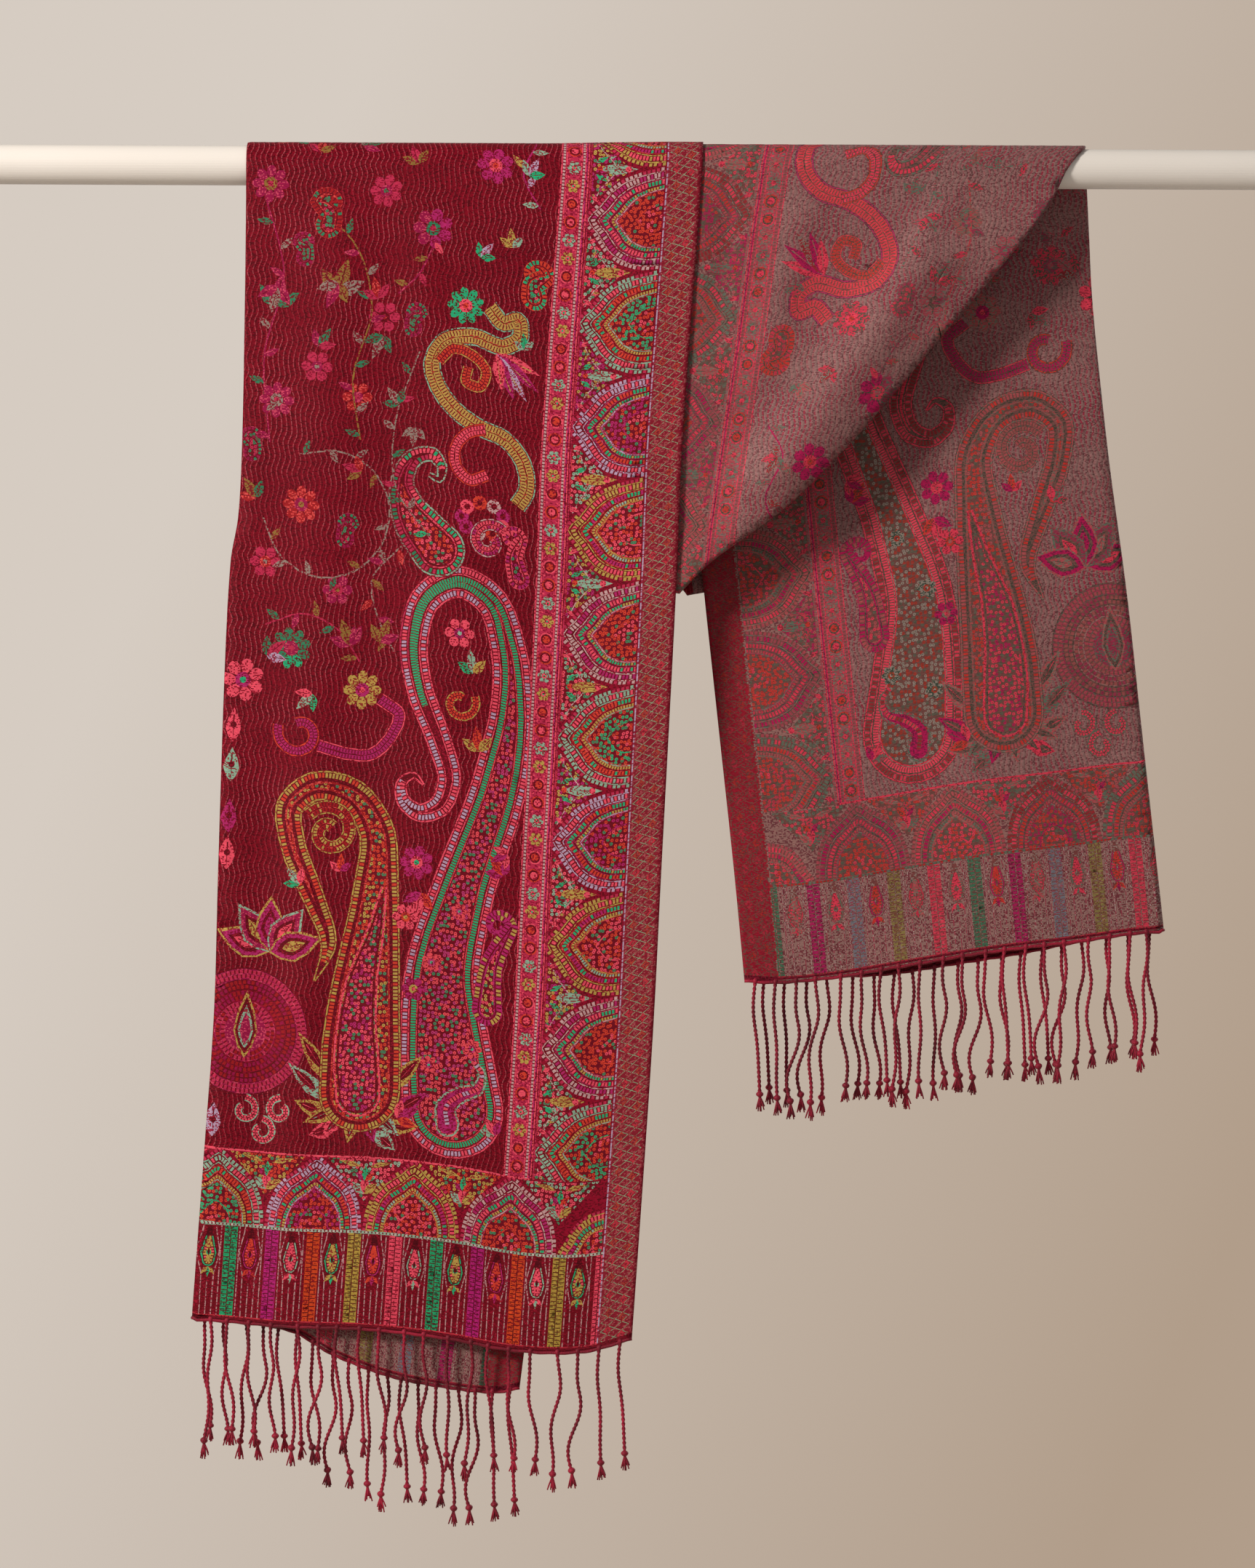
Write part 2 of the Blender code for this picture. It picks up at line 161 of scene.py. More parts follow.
# The main creases of the part, and after each a few softer ones
FRONT_CREASES = [
    Crease(-205.0, 20.0, -222.0, 520.0, 26.0, 2.2),
    Crease(-120.0, 240.0, -165.0, 800.0, 34.0, 2.0),
    Crease(-60.0, 60.0, -75.0, 420.0, 24.0, -1.0),
    Crease(-30.0, 430.0, -55.0, 830.0, 20.0, 1.8),
    Crease(-252.0, 420.0, -262.0, 800.0, 16.0, -1.6),
    Crease(-150.0, 10.0, -140.0, 150.0, 13.0, 1.1),
    Crease(10.0, 40.0, 0.0, 260.0, 14.0, 1.0),
    Crease(-226.0, 560.0, -240.0, 812.0, 15.0, 1.5),
]
TURNED_FLAP_CREASES = [
    Crease(213.0, 60.0, 96.0, 232.0, 27.0, 11.0),
    Crease(92.0, 170.0, 66.0, 250.0, 13.0, -1.5),
    Crease(128.0, 12.0, 92.0, 150.0, 13.0, 2.6),
    Crease(232.0, 8.0, 196.0, 70.0, 10.0, 2.8),
    Crease(72.0, 20.0, 60.0, 130.0, 9.0, -1.6),
]
BACK_CREASES = [
    Crease(303.0, 12.0, 330.0, 130.0, 9.0, 2.2),
    Crease(190.0, 200.0, 215.0, 540.0, 34.0, 1.8),
    Crease(300.0, 260.0, 330.0, 520.0, 24.0, 1.4),
    Crease(120.0, 330.0, 138.0, 560.0, 15.0, -1.2),
    Crease(262.0, 60.0, 268.0, 210.0, 12.0, -1.3),
    Crease(352.0, 60.0, 372.0, 560.0, 62.0, 6.0),
]
REAR_FLAP_CREASES = [Crease(-120.0, 60.0, -10.0, 190.0, 24.0, 3.0)]

STRETCHES = {
    "front_fall": Stretch("front_fall", FRONT_SECTIONS, FRONT_HEM, FRONT_CREASES, -1, 0.07, 0.26),
    "rear_flap": Stretch("rear_flap", REAR_FLAP_SECTIONS, FLAP_HEM, REAR_FLAP_CREASES, 1, 0.07, 0.4),
    "turned_flap": Stretch("turned_flap", TURNED_FLAP_SECTIONS, FLAP_HEM, TURNED_FLAP_CREASES, -1, 0.35, 1),
    "back_fall": Stretch("back_fall", BACK_SECTIONS, BACK_HEM, BACK_CREASES, 1, 0.35, 1),
}

FRINGES = [
    Fringe("fringe_front_outer", "front_fall", 0, 1, 20, 91.0),
    Fringe("fringe_front_inner", "front_fall", 3, 2, 18, 90.0),
    Fringe("fringe_back_outer", "back_fall", 0, 1, 19, 92.0),
    Fringe("fringe_back_inner", "back_fall", 3, 2, 20, 93.0),
]


def smoothstep(value):
    value = np.clip(value, 0.0, 1.0)
    return value * value * (3 - 2 * value)


def read(table, column, at):
    """One column of a table as a smooth curve through its rows, read at many places."""
    places = np.array([row[0] for row in table], float)
    values = np.array([getattr(row, column) for row in table], float)
    slopes = np.gradient(values, places)
    slopes[1:-1] = (values[2:] - values[:-2]) / (places[2:] - places[:-2])
    at = np.clip(at, places[0], places[-1])
    row = np.clip(np.searchsorted(places, at, side="right") - 1, 0, len(places) - 2)
    step = places[row + 1] - places[row]
    t = (at - places[row]) / step
    start = (1 + 2 * t) * (1 - t) ** 2 * values[row] + t * (1 - t) ** 2 * step * slopes[row]
    end = t * t * (3 - 2 * t) * values[row + 1] - t * t * (1 - t) * step * slopes[row + 1]
    return start + end


def relief(creases, x, drop):
    """How far the creases move the cloth out at each place."""
    height = np.zeros_like(x)
    for crease in creases:
        run = crease.bottom_drop - crease.top_drop
        share = np.clip((drop - crease.top_drop) / run, 0.0, 1.0)
        middle = crease.top_x + share * (crease.bottom_x - crease.top_x)
        fade_in = smoothstep((drop - crease.top_drop + CREASE_FADE / 2) / CREASE_FADE)
        fade_out = smoothstep((crease.bottom_drop + CREASE_FADE / 2 - drop) / CREASE_FADE)
        across = np.exp(-(((x - middle) / crease.half_width) ** 2))
        height += crease.height * across * fade_in * fade_out
    return height


def section_place(stretch, share, drop):
    """Where shares of the section lie at their drops: x and depth of each."""
    fold, edge, inner_edge, edge_depth, fold_depth, inner_depth = (
        read(stretch.sections, column, drop) for column in Section._fields[1:]
    )
    toward = np.sign(fold - edge)
    bend = (fold_depth - inner_depth) / 2
    straight_end = fold - toward * bend
    width = stretch.turn_to - stretch.turn_from
    turned = smoothstep((share - stretch.turn_from) / width)
    angle = np.clip(share - 1, 0, 1) * math.pi
    on_outer = share <= 1
    on_bend = (share > 1) & (share <= 2)
    x = np.where(
        on_outer,
        edge + share * (straight_end - edge),
        np.where(
            on_bend,
            straight_end + toward * bend * np.sin(angle),
            straight_end + (share - 2) * (inner_edge - straight_end),
        ),
    )
    depth = np.where(
        on_outer,
        edge_depth + turned * (fold_depth - edge_depth),
        np.where(on_bend, inner_depth + bend * (1 + np.cos(angle)), inner_depth),
    )
    depth = depth + relief(stretch.creases, x, drop) * smoothstep(drop / CREASE_FADE)
    return x, depth


def cloth_places(stretch, share, drop):
    """Points of the cloth. A drop above zero hangs, and one below goes over the rod."""
    x, depth = section_place(stretch, share, np.maximum(drop, 0.0))
    angle = math.pi / 2 * (1 - np.clip(-drop / ARC, 0.0, 1.0))
    over = drop < 0
    x_over, depth_over = section_place(stretch, share, TOP * np.cos(angle))
    places = np.empty((len(x), 3))
    places[:, 0] = np.where(over, x_over, x)
    places[:, 1] = stretch.outward * np.where(over, depth_over * np.sin(angle), depth)
    places[:, 2] = np.where(over, depth_over * np.cos(angle), -drop)
    return places * MM


# Drawing the brocade

PITCH_MEDALLION = 73.0
PITCH_ROUNDEL = 12.8
PITCH_ARCH = 70.0
PITCH_BAR = 29.4
BAND_TOP = 69.0
ARCH_TOP = 121.5
LATTICE_IN = 24.5
MEDALLION_IN = 26.0
ROUNDEL_IN = 90.0
DRAWN_IN = 334.0
DRAWN_UP = 960.0

# A line is laid in pieces of this many steps of its path
PIECE_STEPS = 14

drawing = []


def lay(points, yarn, path=None):
    """A filled figure of one yarn, over whatever was laid before."""
    drawing.append((np.asarray(points, float), yarn, path))


def pair_of(first, second):
    """The name of two yarns mixed, where a dark second one only leaves the first."""
    return f"{first}:{first if second == 'dusk' else second}"


def even_steps(path, step, start=0.0):
    """Points at even steps along a path, and the path's direction at each."""
    path = np.asarray(path, float)
    lengths = np.hypot(*np.diff(path, axis=0).T)
    along = np.concatenate([[0.0], np.cumsum(lengths)])
    at = np.arange(start, along[-1] - 1e-6, step)
    points = np.stack([np.interp(at, along, path[:, axis]) for axis in (0, 1)], axis=1)
    ahead = np.stack([np.interp(at + 0.6, along, path[:, axis]) for axis in (0, 1)], axis=1)
    behind = np.stack([np.interp(at - 0.6, along, path[:, axis]) for axis in (0, 1)], axis=1)
    direction = ahead - behind
    size = np.maximum(np.hypot(direction[:, 0], direction[:, 1]), 1e-9)
    return points, direction / size[:, None]


def through(controls, step=2.5):
    """A smooth path through control points."""
    controls = np.asarray(controls, float)
    reach = np.concatenate([[0.0], np.cumsum(np.hypot(*np.diff(controls, axis=0).T))])
    slopes = np.gradient(controls, reach, axis=0)
    at = np.linspace(0, reach[-1], max(int(reach[-1] / step), 3) + 1)
    row = np.clip(np.searchsorted(reach, at, side="right") - 1, 0, len(reach) - 2)
    gap = (reach[row + 1] - reach[row])[:, None]
    t = (at[:, None] - reach[row][:, None]) / gap
    return (
        (1 + 2 * t) * (1 - t) ** 2 * controls[row]
        + t * (1 - t) ** 2 * gap * slopes[row]
        + t * t * (3 - 2 * t) * controls[row + 1]
        - t * t * (1 - t) * gap * slopes[row + 1]
    )


def sides_of(path):
    """The unit vector to the left of a path at each of its points."""
    ahead = np.gradient(np.asarray(path, float), axis=0)
    size = np.maximum(np.hypot(ahead[:, 0], ahead[:, 1]), 1e-9)
    return np.stack([-ahead[:, 1], ahead[:, 0]], axis=1) / size[:, None]


def line(path, width, yarn, chunk=PIECE_STEPS):
    """A line of one width along a path, laid in short lengths."""
    path = np.asarray(path, float)
    side = sides_of(path) * width / 2
    for first in range(0, len(path) - 1, chunk):
        piece = slice(first, first + chunk + 1)
        lay(np.concatenate([(path + side)[piece], (path - side)[piece][::-1]]), yarn)


def beads(path, pitch, across, first_yarn, second_yarn, start=0.0):
    """A row of short bars set across a path, in two yarns with dark gaps."""
    path = np.asarray(path, float)
    side = sides_of(path) * across / 2
    reach = np.concatenate([[0.0], np.cumsum(np.hypot(*np.diff(path, axis=0).T))]) + start
    for first in range(0, len(path) - 1, PIECE_STEPS):
        piece = slice(first, first + PIECE_STEPS + 1)
        corners = np.concatenate([(path + side)[piece], (path - side)[piece][::-1]])
        lay(corners, "beads:" + pair_of(first_yarn, second_yarn), (path[piece], reach[piece] / pitch))


def ring_points(centre, radius, corners, turn=0.0):
    angle = np.arange(corners) * 2 * math.pi / corners + turn
    return np.asarray(centre) + radius * np.stack([np.cos(angle), np.sin(angle)], axis=1)


def dot(centre, radius, yarn, corners=7):
    lay(ring_points(centre, radius, corners, 0.3), yarn)


def blossom(centre, radius, petals, yarn, middle, eye, turn=0.0):
    """A ring of separate round petals about a ringed eye."""
    centre = np.asarray(centre, float)
    dot(centre, radius * 0.8, "dusk", 9)
    for petal in range(petals):
        angle = turn + petal * 2 * math.pi / petals
        ahead = np.array([math.cos(angle), math.sin(angle)])
        side = np.array([-ahead[1], ahead[0]]) * min(radius * 2.1 / petals, radius * 0.34)
        oval = [(0.34, 0.35), (0.6, 0.95), (0.84, 0.9), (1.0, 0.35)]
        edge = [centre + ahead * radius * out + side * wide for out, wide in oval]
        edge += [centre + ahead * radius * out - side * wide for out, wide in oval[::-1]]
        lay(edge, yarn)
    dot(centre, radius * 0.38, middle, 8)
    dot(centre, radius * 0.17, eye, 6)


def leaf(base, tip, width, yarn, vein="dusk"):
    """A pointed leaf from base to tip with a vein."""
    base, tip = np.asarray(base, float), np.asarray(tip, float)
    along = tip - base
    side = np.array([-along[1], along[0]]) / max(np.hypot(*along), 1e-9) * width / 2
    upper = [base + along * t + side * w for t, w in ((0.16, 0.6), (0.4, 1.0), (0.68, 0.72))]
    lower = [base + along * t - side * w for t, w in ((0.68, 0.72), (0.4, 1.0), (0.16, 0.6))]
    lay([base, *upper, tip, *lower], yarn)
    if vein:
        lay([base, base + along * 0.8 + side * 0.1, base + along * 0.8 - side * 0.1], vein)


def sprig(centre, size, turn, yarns):
    """Three leaves on one stalk."""
    centre = np.asarray(centre, float)
    for number, lean in enumerate((-0.85, 0.0, 0.85)):
        angle = turn + lean
        reach = size * (1.0 if number == 1 else 0.8)
        tip = centre + reach * np.array([math.cos(angle), math.sin(angle)])
        leaf(centre, tip, size * 0.42, yarns[number % len(yarns)])


def vine(controls, width, yarn, leaves, leaf_yarns, leaf_size=7.0):
    """A thin stem with leaves set out from it on either side in turn."""
    path = through(controls, 3.0)
    line(path, width, yarn)
    points, ahead = even_steps(path, max(np.hypot(*np.diff(path, axis=0).T).sum() / leaves, 4), 3)
    for number, (point, a) in enumerate(zip(points, ahead)):
        side = np.array([-a[1], a[0]]) * (1 if number % 2 else -1)
        tip = point + (a * 0.5 + side * 0.85) * leaf_size
        leaf(point, tip, leaf_size * 0.42, leaf_yarns[number % len(leaf_yarns)])


def wound(centre, radius, turns, start, way=1, tightness=0.82, points=16):
    """A spiral wound inwards to a centre."""
    steps = max(int(turns * points), 4)
    t = np.linspace(0, 1, steps + 1)
    angle = start + way * t * turns * 2 * math.pi
    reach = radius * (1 - tightness * t)
    return np.asarray(centre) + reach[:, None] * np.stack([np.cos(angle), np.sin(angle)], axis=1)


def tear_sides(spine, widths, inset):
    """The edge of a tear on a spine, from its thin end round its bulb and back."""
    spine = np.asarray(spine, float)
    reach = np.concatenate([[0.0], np.cumsum(np.hypot(*np.diff(spine, axis=0).T))])
    share = reach / reach[-1]
    half = np.interp(share, [row[0] for row in widths], [row[1] for row in widths]) - inset
    kept = half > 0.25
    kept[: np.argmax(kept)] = False
    side = sides_of(spine)
    left = (spine + side * half[:, None])[kept]
    right = (spine - side * half[:, None])[kept]
    turned = np.linspace(0, math.pi, 13)[1:-1]
    end_side = side[-1]
    end_ahead = np.array([end_side[1], -end_side[0]])
    cap = spine[-1] + half[-1] * (
        np.cos(turned)[:, None] * end_side + np.sin(turned)[:, None] * end_ahead
    )
    return np.concatenate([left, cap, right[::-1]])


def inside(points, corners):
    """Which points lie within a figure, by its winding round them."""
    x, y = points[:, 0][:, None], points[:, 1][:, None]
    x1, y1 = corners[:, 0], corners[:, 1]
    x2, y2 = np.roll(x1, -1), np.roll(y1, -1)
    left = (x2 - x1) * (y - y1) - (x - x1) * (y2 - y1)
    up = (y1 <= y) & (y2 > y) & (left > 0)
    down = (y1 > y) & (y2 <= y) & (left < 0)
    return (up.sum(axis=1) - down.sum(axis=1)) != 0


def garden(corners, first_yarn, second_yarn):
    """A figure strewn with small flowers in two yarns."""
    lay(corners, "strewn:" + pair_of(first_yarn, second_yarn))


def paisley(spine, widths, edge, band, inner, fill, strewn, stripe=None):
    """A paisley on a spine: an edge line, a beaded band, an inner line and a strewn middle."""
    lay(tear_sides(spine, widths, -0.4), "dusk")
    line(tear_sides(spine, widths, 0.7), 1.1, edge)
    beads(tear_sides(spine, widths, 3.4), 2.5, 3.3, *band)
    line(tear_sides(spine, widths, 6.1), 0.9, inner)
    middle = tear_sides(spine, widths, 7.6)
    if len(middle) > 14:
        lay(middle, fill)
        if stripe:
            beads(tear_sides(spine, widths, 9.4), 1.9, 3.6, stripe, stripe)
            line(tear_sides(spine, widths, 11.9), 0.6, "bloom")
        strewn_over = tear_sides(spine, widths, 13.2 if stripe else 9.0)
        if len(strewn_over) > 16:
            garden(strewn_over, *strewn)


def onion(centre, reach, half, scale, up_is_in=False):
    """Half an onion dome on a base line, scaled about the middle of its base."""
    t = np.linspace(-math.pi / 2, math.pi / 2, 27)
    outward = reach * 0.85 * np.cos(t) + reach * 0.15 * np.exp(-((t / 0.2) ** 2)) * np.cos(t)
    along = half * np.sin(t) * (1 + 0.05 * np.cos(2 * t))
    flat = np.stack([outward, along], axis=1) * scale
    return np.asarray(centre) + (flat[:, ::-1] if up_is_in else flat)


DOME_YARNS = [
    ("sage", "coral", "scarlet", "ochre", "emerald"),
    ("pink_grey", "magenta", "coral", "emerald", "scarlet"),
    ("ochre", "coral", "magenta", "sage", "coral"),
    ("lavender", "coral", "scarlet", "emerald", "magenta"),
]


def dome(centre, reach, half, number, up_is_in=False):
    """Concentric beaded bands of a dome, its middle strewn with small flowers."""
    rim, first, second, third, heart = DOME_YARNS[number % 4]

    def ring(scale):
        return onion(centre, reach, half, scale, up_is_in)

    beads(ring(1.03), 3.2, 2.4, rim, "rose")
    lay(ring(1.0), "dusk")
    line(ring(0.985), 0.8, rim)
    beads(ring(0.92), 2.5, 3.2, first, rim)
    line(ring(0.85), 0.8, rim)
    lay(ring(0.825), "magenta_deep" if number % 2 else "scarlet_deep")
    beads(ring(0.765), 2.4, 2.8, second, "emerald", 0.5)
    line(ring(0.70), 0.9, "dusk")
    beads(ring(0.655), 2.0, 1.9, third, "ochre")
    line(ring(0.61), 0.8, rim)
    garden(ring(0.585), heart, "scarlet")
    line(ring(0.335), 0.8, heart)
    garden(ring(0.31), "scarlet", "coral")


def lattice_column(top):
    """The dull selvedge column: a net of green diamonds with a red diamond in each."""
    lay([(0, 0), (LATTICE_IN, 0), (LATTICE_IN, top), (0, top)], "selvedge")
    cell_in, cell_up = 9.8, 12.4
    rows = int(top / cell_up * 2)
    for column in (0, 1):
        middle_in = 3.2 + cell_in * (column + 0.5)
        for way in (1, -1):
            steps = np.arange(0, rows + 1)
            zig = np.where((steps + column) % 2 == 0, way, -way)
            path = np.stack([middle_in + zig * cell_in / 2, steps * cell_up / 2], axis=1)
            line(path, 0.85, "sage_dull", 10)
        for row in range(rows):
            middle = (middle_in, (row + 0.5) * cell_up / 2 + cell_up / 4)
            if (row + column) % 2 == 0:
                diamond = middle + ring_points((0, 0), 1.0, 4) * [2.6, 3.7]
                lay(diamond, "coral_dull" if row % 4 < 2 else "scarlet_dull")
                lay(ring_points(middle, 1.1, 4), "selvedge")
    line([(LATTICE_IN, 5), (LATTICE_IN, top)], 1.0, "lavender")


def medallion_column(top):
    """Half medallions standing on the selvedge line, with leaves between their points."""
    lay([(25.2, BAND_TOP), (78.0, BAND_TOP), (78.0, top), (25.2, top)], "crimson")
    for number in range(-1, int(top / PITCH_MEDALLION) + 1):
        middle = 141.0 + number * PITCH_MEDALLION
        if middle > top + 20:
            break
        between = middle + PITCH_MEDALLION / 2
        lay([(78, between - 23), (78, between + 23), (58, between + 5), (50, between), (58, between - 5)],
            "scarlet_deep")
        yarns = ("magenta", "ochre") if number % 2 else ("coral", "sage")
        garden([(77.5, between - 25), (77.5, between + 25), (50, between)], *yarns)
        leaf((72, between), (45, between), 8.0, "sage" if number % 2 else "ochre")
        dot((52, between), 2.4, "coral")
        for way in (-1, 1):
            vine(
                [(76, between + way * 25), (70, between + way * 13), (62, between + way * 4)],
                0.8, "pink_grey", 3, ["magenta", "ochre", "sage"], 5.0,
            )
            leaf((75, between + way * 4), (66, between + way * 9), 3.8, "emerald")
            leaf((77, between + way * 20), (70, between + way * 24), 3.4, "coral")
        dot((72, between), 2.0, "scarlet")
        if number >= 0:
            dome((MEDALLION_IN, middle), 53.0, 35.6, number)
    dome((MEDALLION_IN, BAND_TOP), 33.0, 30.0, 2)
    for at, yarn in ((78.6, "rose"), (80.2, "coral"), (81.6, "magenta")):
        line([(at, ARCH_TOP - 6), (at, top)], 0.9, yarn)


def roundel_column(top):
    """A narrow stripe of rings and rosettes between dotted guard lines."""
    lay([(82.4, ARCH_TOP), (99.0, ARCH_TOP), (99.0, top), (82.4, top)], "rose")
    for at in (83.5, 97.6):
        beads([(at, ARCH_TOP), (at, top)], 2.4, 1.7, "pink_grey", "pink_grey")
    for at in (82.4, 85.3, 95.8, 99.4):
        line([(at, ARCH_TOP), (at, top)], 0.7, "coral")
    for number in range(int((top - ARCH_TOP) / PITCH_ROUNDEL) + 1):
        middle = (ROUNDEL_IN + 0.4, ARCH_TOP + 8 + number * PITCH_ROUNDEL)
        kind = number % 4
        if kind in (0, 1):
            dot(middle, 4.9, "coral" if kind else "scarlet", 12)
            dot(middle, 3.9, "dusk", 11)
            dot(middle, 2.7, "scarlet" if kind else "coral", 8)
        else:
            blossom(middle, 4.9, 6, "ochre" if kind == 2 else "sage", "coral", "emerald")
        dot((middle[0] - 3.6, middle[1] + PITCH_ROUNDEL / 2), 0.9, "coral", 4)
        dot((middle[0] + 3.6, middle[1] + PITCH_ROUNDEL / 2), 0.9, "coral", 4)


def arch_row():
    """The end border: a row of arches under the pink line, with sprigs between them."""
    lay([(26, BAND_TOP), (DRAWN_IN, BAND_TOP), (DRAWN_IN, ARCH_TOP), (26, ARCH_TOP)], "crimson")
    for number in range(5):
        middle = 23.0 + PITCH_ARCH * (number + 1)
        low = (middle - PITCH_ARCH / 2, BAND_TOP + 1)
        yarns = ("scarlet", "ochre") if number % 2 else ("coral", "sage")
        between = [(low[0], BAND_TOP + 22), (low[0] + 27, ARCH_TOP - 1), (low[0] - 27, ARCH_TOP - 1)]
        garden(between, *yarns)
        sprig((low[0], BAND_TOP + 27), 15.0, math.pi / 2, ["sage", "coral", "ochre"])
        sprig((low[0], BAND_TOP + 36), 11.0, math.pi / 2, ["magenta", "emerald", "scarlet"])
        for way in (-1, 1):
            leaf((low[0] + way * 3, BAND_TOP + 46), (low[0] + way * 19, BAND_TOP + 50), 4.0, "ochre")
        dome((middle, BAND_TOP), 50.5, 34.2, number + 1, True)
    line([(80, ARCH_TOP), (DRAWN_IN, ARCH_TOP)], 1.4, "coral")


BAR_YARNS = ["bar_coral", "bar_ochre", "bar_orange", "bar_magenta", "bar_green"]


def striped_band():
    """The hem band: fine upright lines, coloured bars and a hanging tear between each pair."""
    lay([(LATTICE_IN, 5), (DRAWN_IN, 5), (DRAWN_IN, BAND_TOP), (LATTICE_IN, BAND_TOP)], "dark_ground")
    rise = np.linspace(5, BAND_TOP, 12)
    for number in range(-1, 11):
        middle = LATTICE_IN + PITCH_BAR * (number + 0.5) + 2.0
        for place in (-2, -1, 0, 1, 2):
            pushed = np.sign(place) * 4.6 * np.exp(-(((rise - 50) / 11) ** 2)) / (1 + abs(place) * 0.3)
            bent = middle + place * 4.1 + pushed * (abs(place) < 2)
            keep = rise < 30 if place == 0 else rise < 99
            path = np.stack([bent, rise], axis=1)[keep]
            if path[0, 0] > LATTICE_IN + 5:
                line(path, 0.75, "stripe")
        if number >= 0:
            hung = [(middle, 67), (middle, 60), (middle, 54), (middle, 48), (middle, 43)]
            widths = [(0, 0.4), (0.35, 2.8), (0.75, 5.6), (1, 4.2)]
            first, second = (("ochre", "emerald"), ("coral", "sage"), ("scarlet", "magenta"))[number % 3]
            lay(tear_sides(hung, widths, -0.8), "deep")
            line(tear_sides(hung, widths, 0.3), 0.9, second)
            lay(tear_sides(hung, widths, 1.4), first)
            beads(tear_sides(hung, widths, 2.2), 2.1, 1.5, first, "coral")
            lay(ring_points((middle, 48.5), 2.0, 6, 0.5), second)
            lay([(middle - 1.1, 49), (middle, 52), (middle + 1.1, 49), (middle, 46)], "deep")
            for way in (-1, 0, 1):
                tip = (middle + way * 5, 33 - 2 * (way == 0))
                leaf((middle, 38.5), tip, 3.2, (first, second)[way == 0], None)
    for number in range(11):
        yarn = BAR_YARNS[number % 5]
        left = LATTICE_IN + PITCH_BAR * number - (1.5 if number == 0 else 3.0)
        width = 6.5 if number == 0 else 9.2
        lay([(left, 5), (left + width, 5), (left + width, BAND_TOP), (left, BAND_TOP)], yarn)
        for row in range(22):
            level = 6.5 + row * 2.9
            for column, shift in ((0.27, 0.0), (0.76, 1.45)):
                middle = left + width * column
                reach = width * 0.2
                up = level + shift
                low, high = (middle - reach, up), (middle + reach, up + 0.6)
                lay([low, (high[0], low[1]), high, (low[0], high[1])], "deep")
        line([(left + width * 0.52, 5), (left + width * 0.52, BAND_TOP)], 0.6, "deep")
    line([(LATTICE_IN, BAND_TOP), (DRAWN_IN, BAND_TOP)], 2.0, "sage")
    beads([(LATTICE_IN, BAND_TOP), (DRAWN_IN, BAND_TOP)], 2.6, 1.3, "pale", "sage")
    lay([(0, 0), (DRAWN_IN, 0), (DRAWN_IN, 5), (0, 5)], "hem")
    line([(0, 4.6), (DRAWN_IN, 4.6)], 0.9, "coral_dull")
    line([(0, 2.2), (DRAWN_IN, 2.2)], 0.8, "deep")


def scroll(spine, half, edge, band, bead="dusk"):
    """A curled ribbon of one width, with a fine row of beads along each side."""
    spine = np.asarray(spine, float)
    line(spine, half * 2 + 0.8, "dusk")
    line(spine, half * 2, edge)
    line(spine, half * 2 - 1.7, "dusk")
    line(spine, half * 2 - 2.6, band)
    for way in (-1, 1):
        beside = spine + sides_of(spine) * half * 0.42 * way
        beads(beside, 2.2, half * 0.5, band, bead, way * 0.5)
    line(spine, 0.6, "dusk")


LARGE_SPINE = [
    (172, 386), (179, 392), (187, 387), (186, 374), (174, 366), (160, 372), (154, 388),
    (163, 419), (178, 452), (184, 490), (176, 518), (154, 531), (131, 521), (117, 490),
    (112, 446), (118, 394), (140, 315), (152, 250), (147, 205), (139, 163),
]
LARGE_WIDTHS = [
    (0, 1.2), (0.03, 4), (0.1, 8), (0.2, 9.5), (0.36, 11), (0.45, 12.5), (0.52, 14.5),
    (0.61, 19), (0.75, 22), (0.86, 27.5), (0.94, 33.5), (1, 36.5),
]
BLOOMS = ["bloom", "bloom_pink"]


def large_paisley():
    """The long paisley: a bulb above the end border, and a neck looped over to a curl."""
    spine = through(LARGE_SPINE, 3.0)
    paisley(
        spine, LARGE_WIDTHS, "coral", ["lavender", "coral"],
        "coral", "paisley_fill", BLOOMS, "paisley_green",
    )
    blooms = ((160, 262, 7), (142, 300, 6), (128, 205, 7), (158, 190, 6.5), (140, 148, 7))
    for middle_in, up, radius in blooms:
        blossom((middle_in, up), radius, 7, "bloom", "bloom_pink", "bloom_green", 0.4)
    small = through([(126, 196), (120, 190), (122, 178), (134, 172), (144, 162), (142, 150)], 2.5)
    widths = [(0, 1), (0.5, 5), (1, 8)]
    line(tear_sides(small, widths, 0.0), 1.4, "sage")
    lay(tear_sides(small, widths, 1.4), "magenta")
    beads(small, 2.6, 3.0, "coral", "lavender")


SECOND_SPINE = [
    (243, 244), (234, 268), (247, 305), (263, 341), (266, 366), (250, 381), (223, 377),
    (205, 355), (202, 309), (205, 257), (207, 219), (206, 168),
]
SECOND_WIDTHS = [
    (0, 1), (0.07, 6), (0.2, 9), (0.35, 10), (0.48, 11.5), (0.58, 14), (0.7, 19),
    (0.82, 25), (0.92, 28.5), (1, 29),
]


